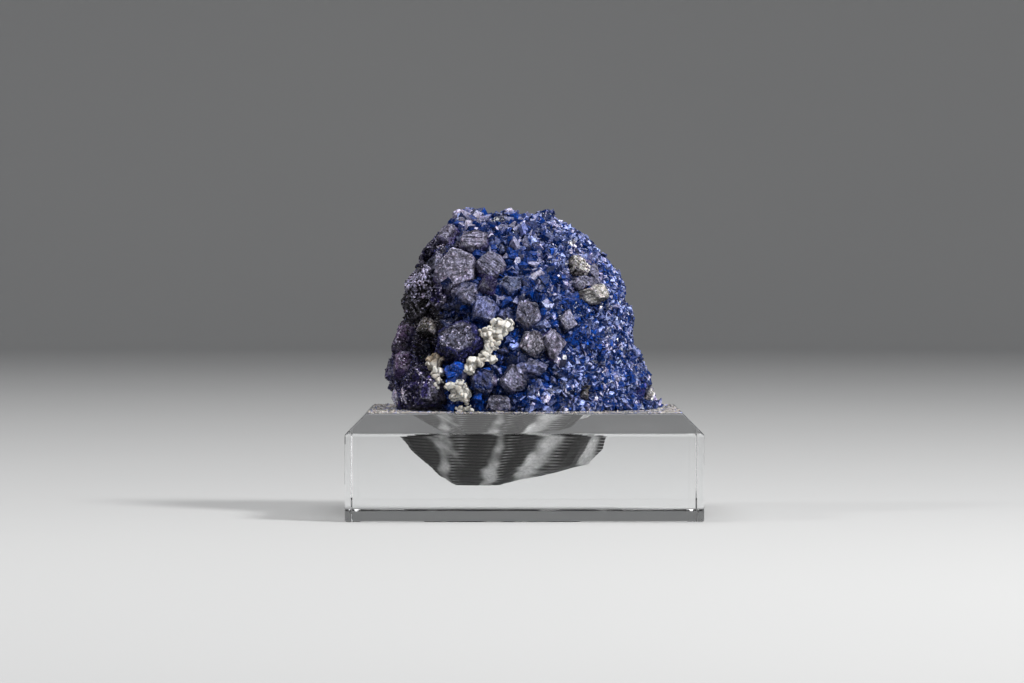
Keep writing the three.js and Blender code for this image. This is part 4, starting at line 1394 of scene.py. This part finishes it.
def acrylic_block():
    """The block with its seat cut out, as one piece in place of the CAD's."""
    materials = [clear_acrylic(), milled_seat(), dusty_top()]
    clear, milled, dusty = range(3)
    block = bpy.data.objects.new("acrylic_block_clear", block_shape())
    scene.collection.objects.link(block)
    axis, turns, radii = seat_rings()
    cutter = seat_cutter(axis, turns, radii)
    for piece in (block, cutter):
        for material in materials:
            piece.data.materials.append(material)
    cutter.data.polygons.foreach_set("material_index", np.full(len(cutter.data.polygons), milled, np.int32))
    made = cut_by(block, cutter)
    for face in made.polygons:
        on_top = face.normal.z > 0.999 and face.center.z > (BLOCK_TOP - 0.2) * MM
        if face.material_index == clear and on_top:
            face.material_index = dusty
        face.use_smooth = face.material_index == milled
    tone = seat_light_and_shade(np.array([vertex.co for vertex in made.vertices]) / MM, axis)
    # Painted light and shade on the seat's wall, also set as its frost.
    paint(block, "POINT", blend(SEAT_PAINTED_SHADE, SEAT_PAINTED_LIGHT, tone), tone)
    return standing(block, "acrylic_block")


acrylic_block()

DUST_SPECKS, DUST_WIDTH = 7000, 0.36  # how many at most, and how wide
DUST_EDGE, DUST_FOOT = 9.0, 3.5  # how near the face's edge, and the stone's foot, dust gathers
TOP_INSIDE = 9.4  # how far in from the block's sides its top face begins


def dust():
    """Pale dust and blue crumbs on the block's top face, thickest near its edges and the stone's foot."""
    random = np.random.default_rng(601)
    low, high = BLOCK_LOW[:2] + TOP_INSIDE, BLOCK_HIGH[:2] - TOP_INSIDE
    spots = random.uniform(low, high, (DUST_SPECKS * 6, 2))
    near = STONE_SKIN.find_nearest
    foot = np.array([near(Vector((x, y, BLOCK_TOP + 0.4)), 40)[3] or 40 for x, y in spots])
    side = np.minimum(spots - low, high - spots).min(1)
    chance = 0.12 + 0.5 * np.exp(-side / DUST_EDGE) + 0.5 * np.exp(-foot / DUST_FOOT)
    chance = chance * (0.6 + 0.7 * lumps(np.column_stack([spots, foot * 0]), 14, 611))
    under = [BLOCK_SKIN.ray_cast(Vector((x, y, BLOCK_TOP + 2)), Vector((0, 0, -1)))[3] for x, y in spots]
    on_face = np.array([away if away is not None else 99 for away in under]) < 2 + 0.1  # and not in the seat
    clear = (foot > 0.5) & on_face
    kept = np.flatnonzero(clear & (random.uniform(0, 1, len(spots)) < chance))[:DUST_SPECKS]
    points = np.column_stack([spots[kept], np.full(len(kept), BLOCK_TOP)])
    widths = DUST_WIDTH * np.exp(random.normal(0, 0.45, len(kept)))
    sizes = np.stack([widths, widths * 0.8, widths * random.uniform(0.4, 1, len(kept))], axis=1)
    axes = np.tile([0, 0, 1.0], (len(kept), 1))
    parts = scattered(fine_forms, points, axes, sizes, random, 0.25)
    corners, loops, face_sizes, speck, _, _ = parts
    corners[:, 2] = np.maximum(corners[:, 2], BLOCK_TOP + 0.01)
    blue = random.uniform(0, 1, len(kept)) < 0.12 + 0.4 * np.exp(-foot[kept] / 3)
    tints = np.where(blue[:, None], LAVENDER * 0.8, BEIGE * 1.3) * random.uniform(0.3, 1.4, (len(kept), 1))
    piece = new_piece("dust_and_crumbs", corners, loops, face_sizes, [fluorite_fine])
    paint(piece, "CORNER", tints[speck], np.full(len(speck), 0.8))
    standing(piece)


dust()

# ---------------------------- stage

AIR = 0.1  # the thin film of air between the block and the floor, in millimetres
FLOOR_RADIUS, SWEEP, WALL_TOP = 3.6, 1.4, 3.4  # of the stage, in metres
STAGE_SIDES, SWEEP_STEPS = 96, 9


def studio():
    """A pale round floor that sweeps up into a wall."""
    pale = Shader("pale_stage", Roughness=0.9)
    pale.finish(Base_Color=pale.mixed(pale.noise(900, detail=2), (0.40, 0.40, 0.40), (0.43, 0.43, 0.425)))
    rises = np.linspace(0.1, math.pi / 2, SWEEP_STEPS)
    profile = [(0.6, 0.0), (FLOOR_RADIUS, 0.0)]
    profile += [(FLOOR_RADIUS + SWEEP * math.sin(a), SWEEP - SWEEP * math.cos(a)) for a in rises]
    profile += [(FLOOR_RADIUS + SWEEP, WALL_TOP)]
    turns = [2 * math.pi * side / STAGE_SIDES for side in range(STAGE_SIDES)]
    points = [
        (r * math.cos(turn) / MM, r * math.sin(turn) / MM, z / MM - AIR) for r, z in profile for turn in turns
    ]
    rows = between_rings(len(profile), STAGE_SIDES)[:, [0, 3, 2, 1]]
    loops = np.concatenate([rows.ravel(), np.arange(STAGE_SIDES)])
    sizes = [4] * len(rows) + [STAGE_SIDES]
    stage = new_piece("stage_floor", np.array(points), loops, sizes, [pale.material], smooth=True)


def lamp(name, place, aim, size, power):
    """A soft rectangular lamp that shines from its place at what it aims at, in metres and watts."""
    data = bpy.data.lights.new(name, "AREA")
    data.shape = "RECTANGLE"
    data.size, data.size_y = size
    data.energy = power
    light = bpy.data.objects.new(name, data)
    light.location = place
    light.rotation_euler = (Vector(aim) - Vector(place)).to_track_quat("-Z", "Y").to_euler()
    scene.collection.objects.link(light)


studio()
STONE_MIDDLE = (0, 0, 0.08)
lamp("key", (1.25, -0.95, 1.25), STONE_MIDDLE, (0.35, 0.35), 40)
lamp("fill", (-1.4, -0.6, 1.0), STONE_MIDDLE, (0.22, 0.22), 7)
lamp("overhead", (0.0, 0.0, 2.4), STONE_MIDDLE, (3.2, 3.2), 70)
lamp("side", (1.7, -0.8, 0.24), (0, 0, 0.03), (0.9, 0.35), 5)
world = bpy.data.worlds.new("soft_studio")
world.use_nodes = True
background = world.node_tree.nodes["Background"]
background.inputs["Color"].default_value = (0.9, 0.93, 1.0, 1)
background.inputs["Strength"].default_value = 0.2
scene.world = world

CAMERA_LENS, CAMERA_SENSOR, CAMERA_REACH = 195.3, 36, 50  # in millimetres, and how far it sees in metres
CAMERA_PLACE, CAMERA_DIP = (-0.0052, -2.39, 0.118), 1.057  # in metres, and how far it looks down in degrees

camera = bpy.data.objects.new("camera", bpy.data.cameras.new("camera"))
camera.data.lens, camera.data.sensor_width, camera.data.clip_end = CAMERA_LENS, CAMERA_SENSOR, CAMERA_REACH
camera.location = CAMERA_PLACE
camera.rotation_euler = (math.radians(90 - CAMERA_DIP), 0, 0)
scene.collection.objects.link(camera)
scene.camera = camera
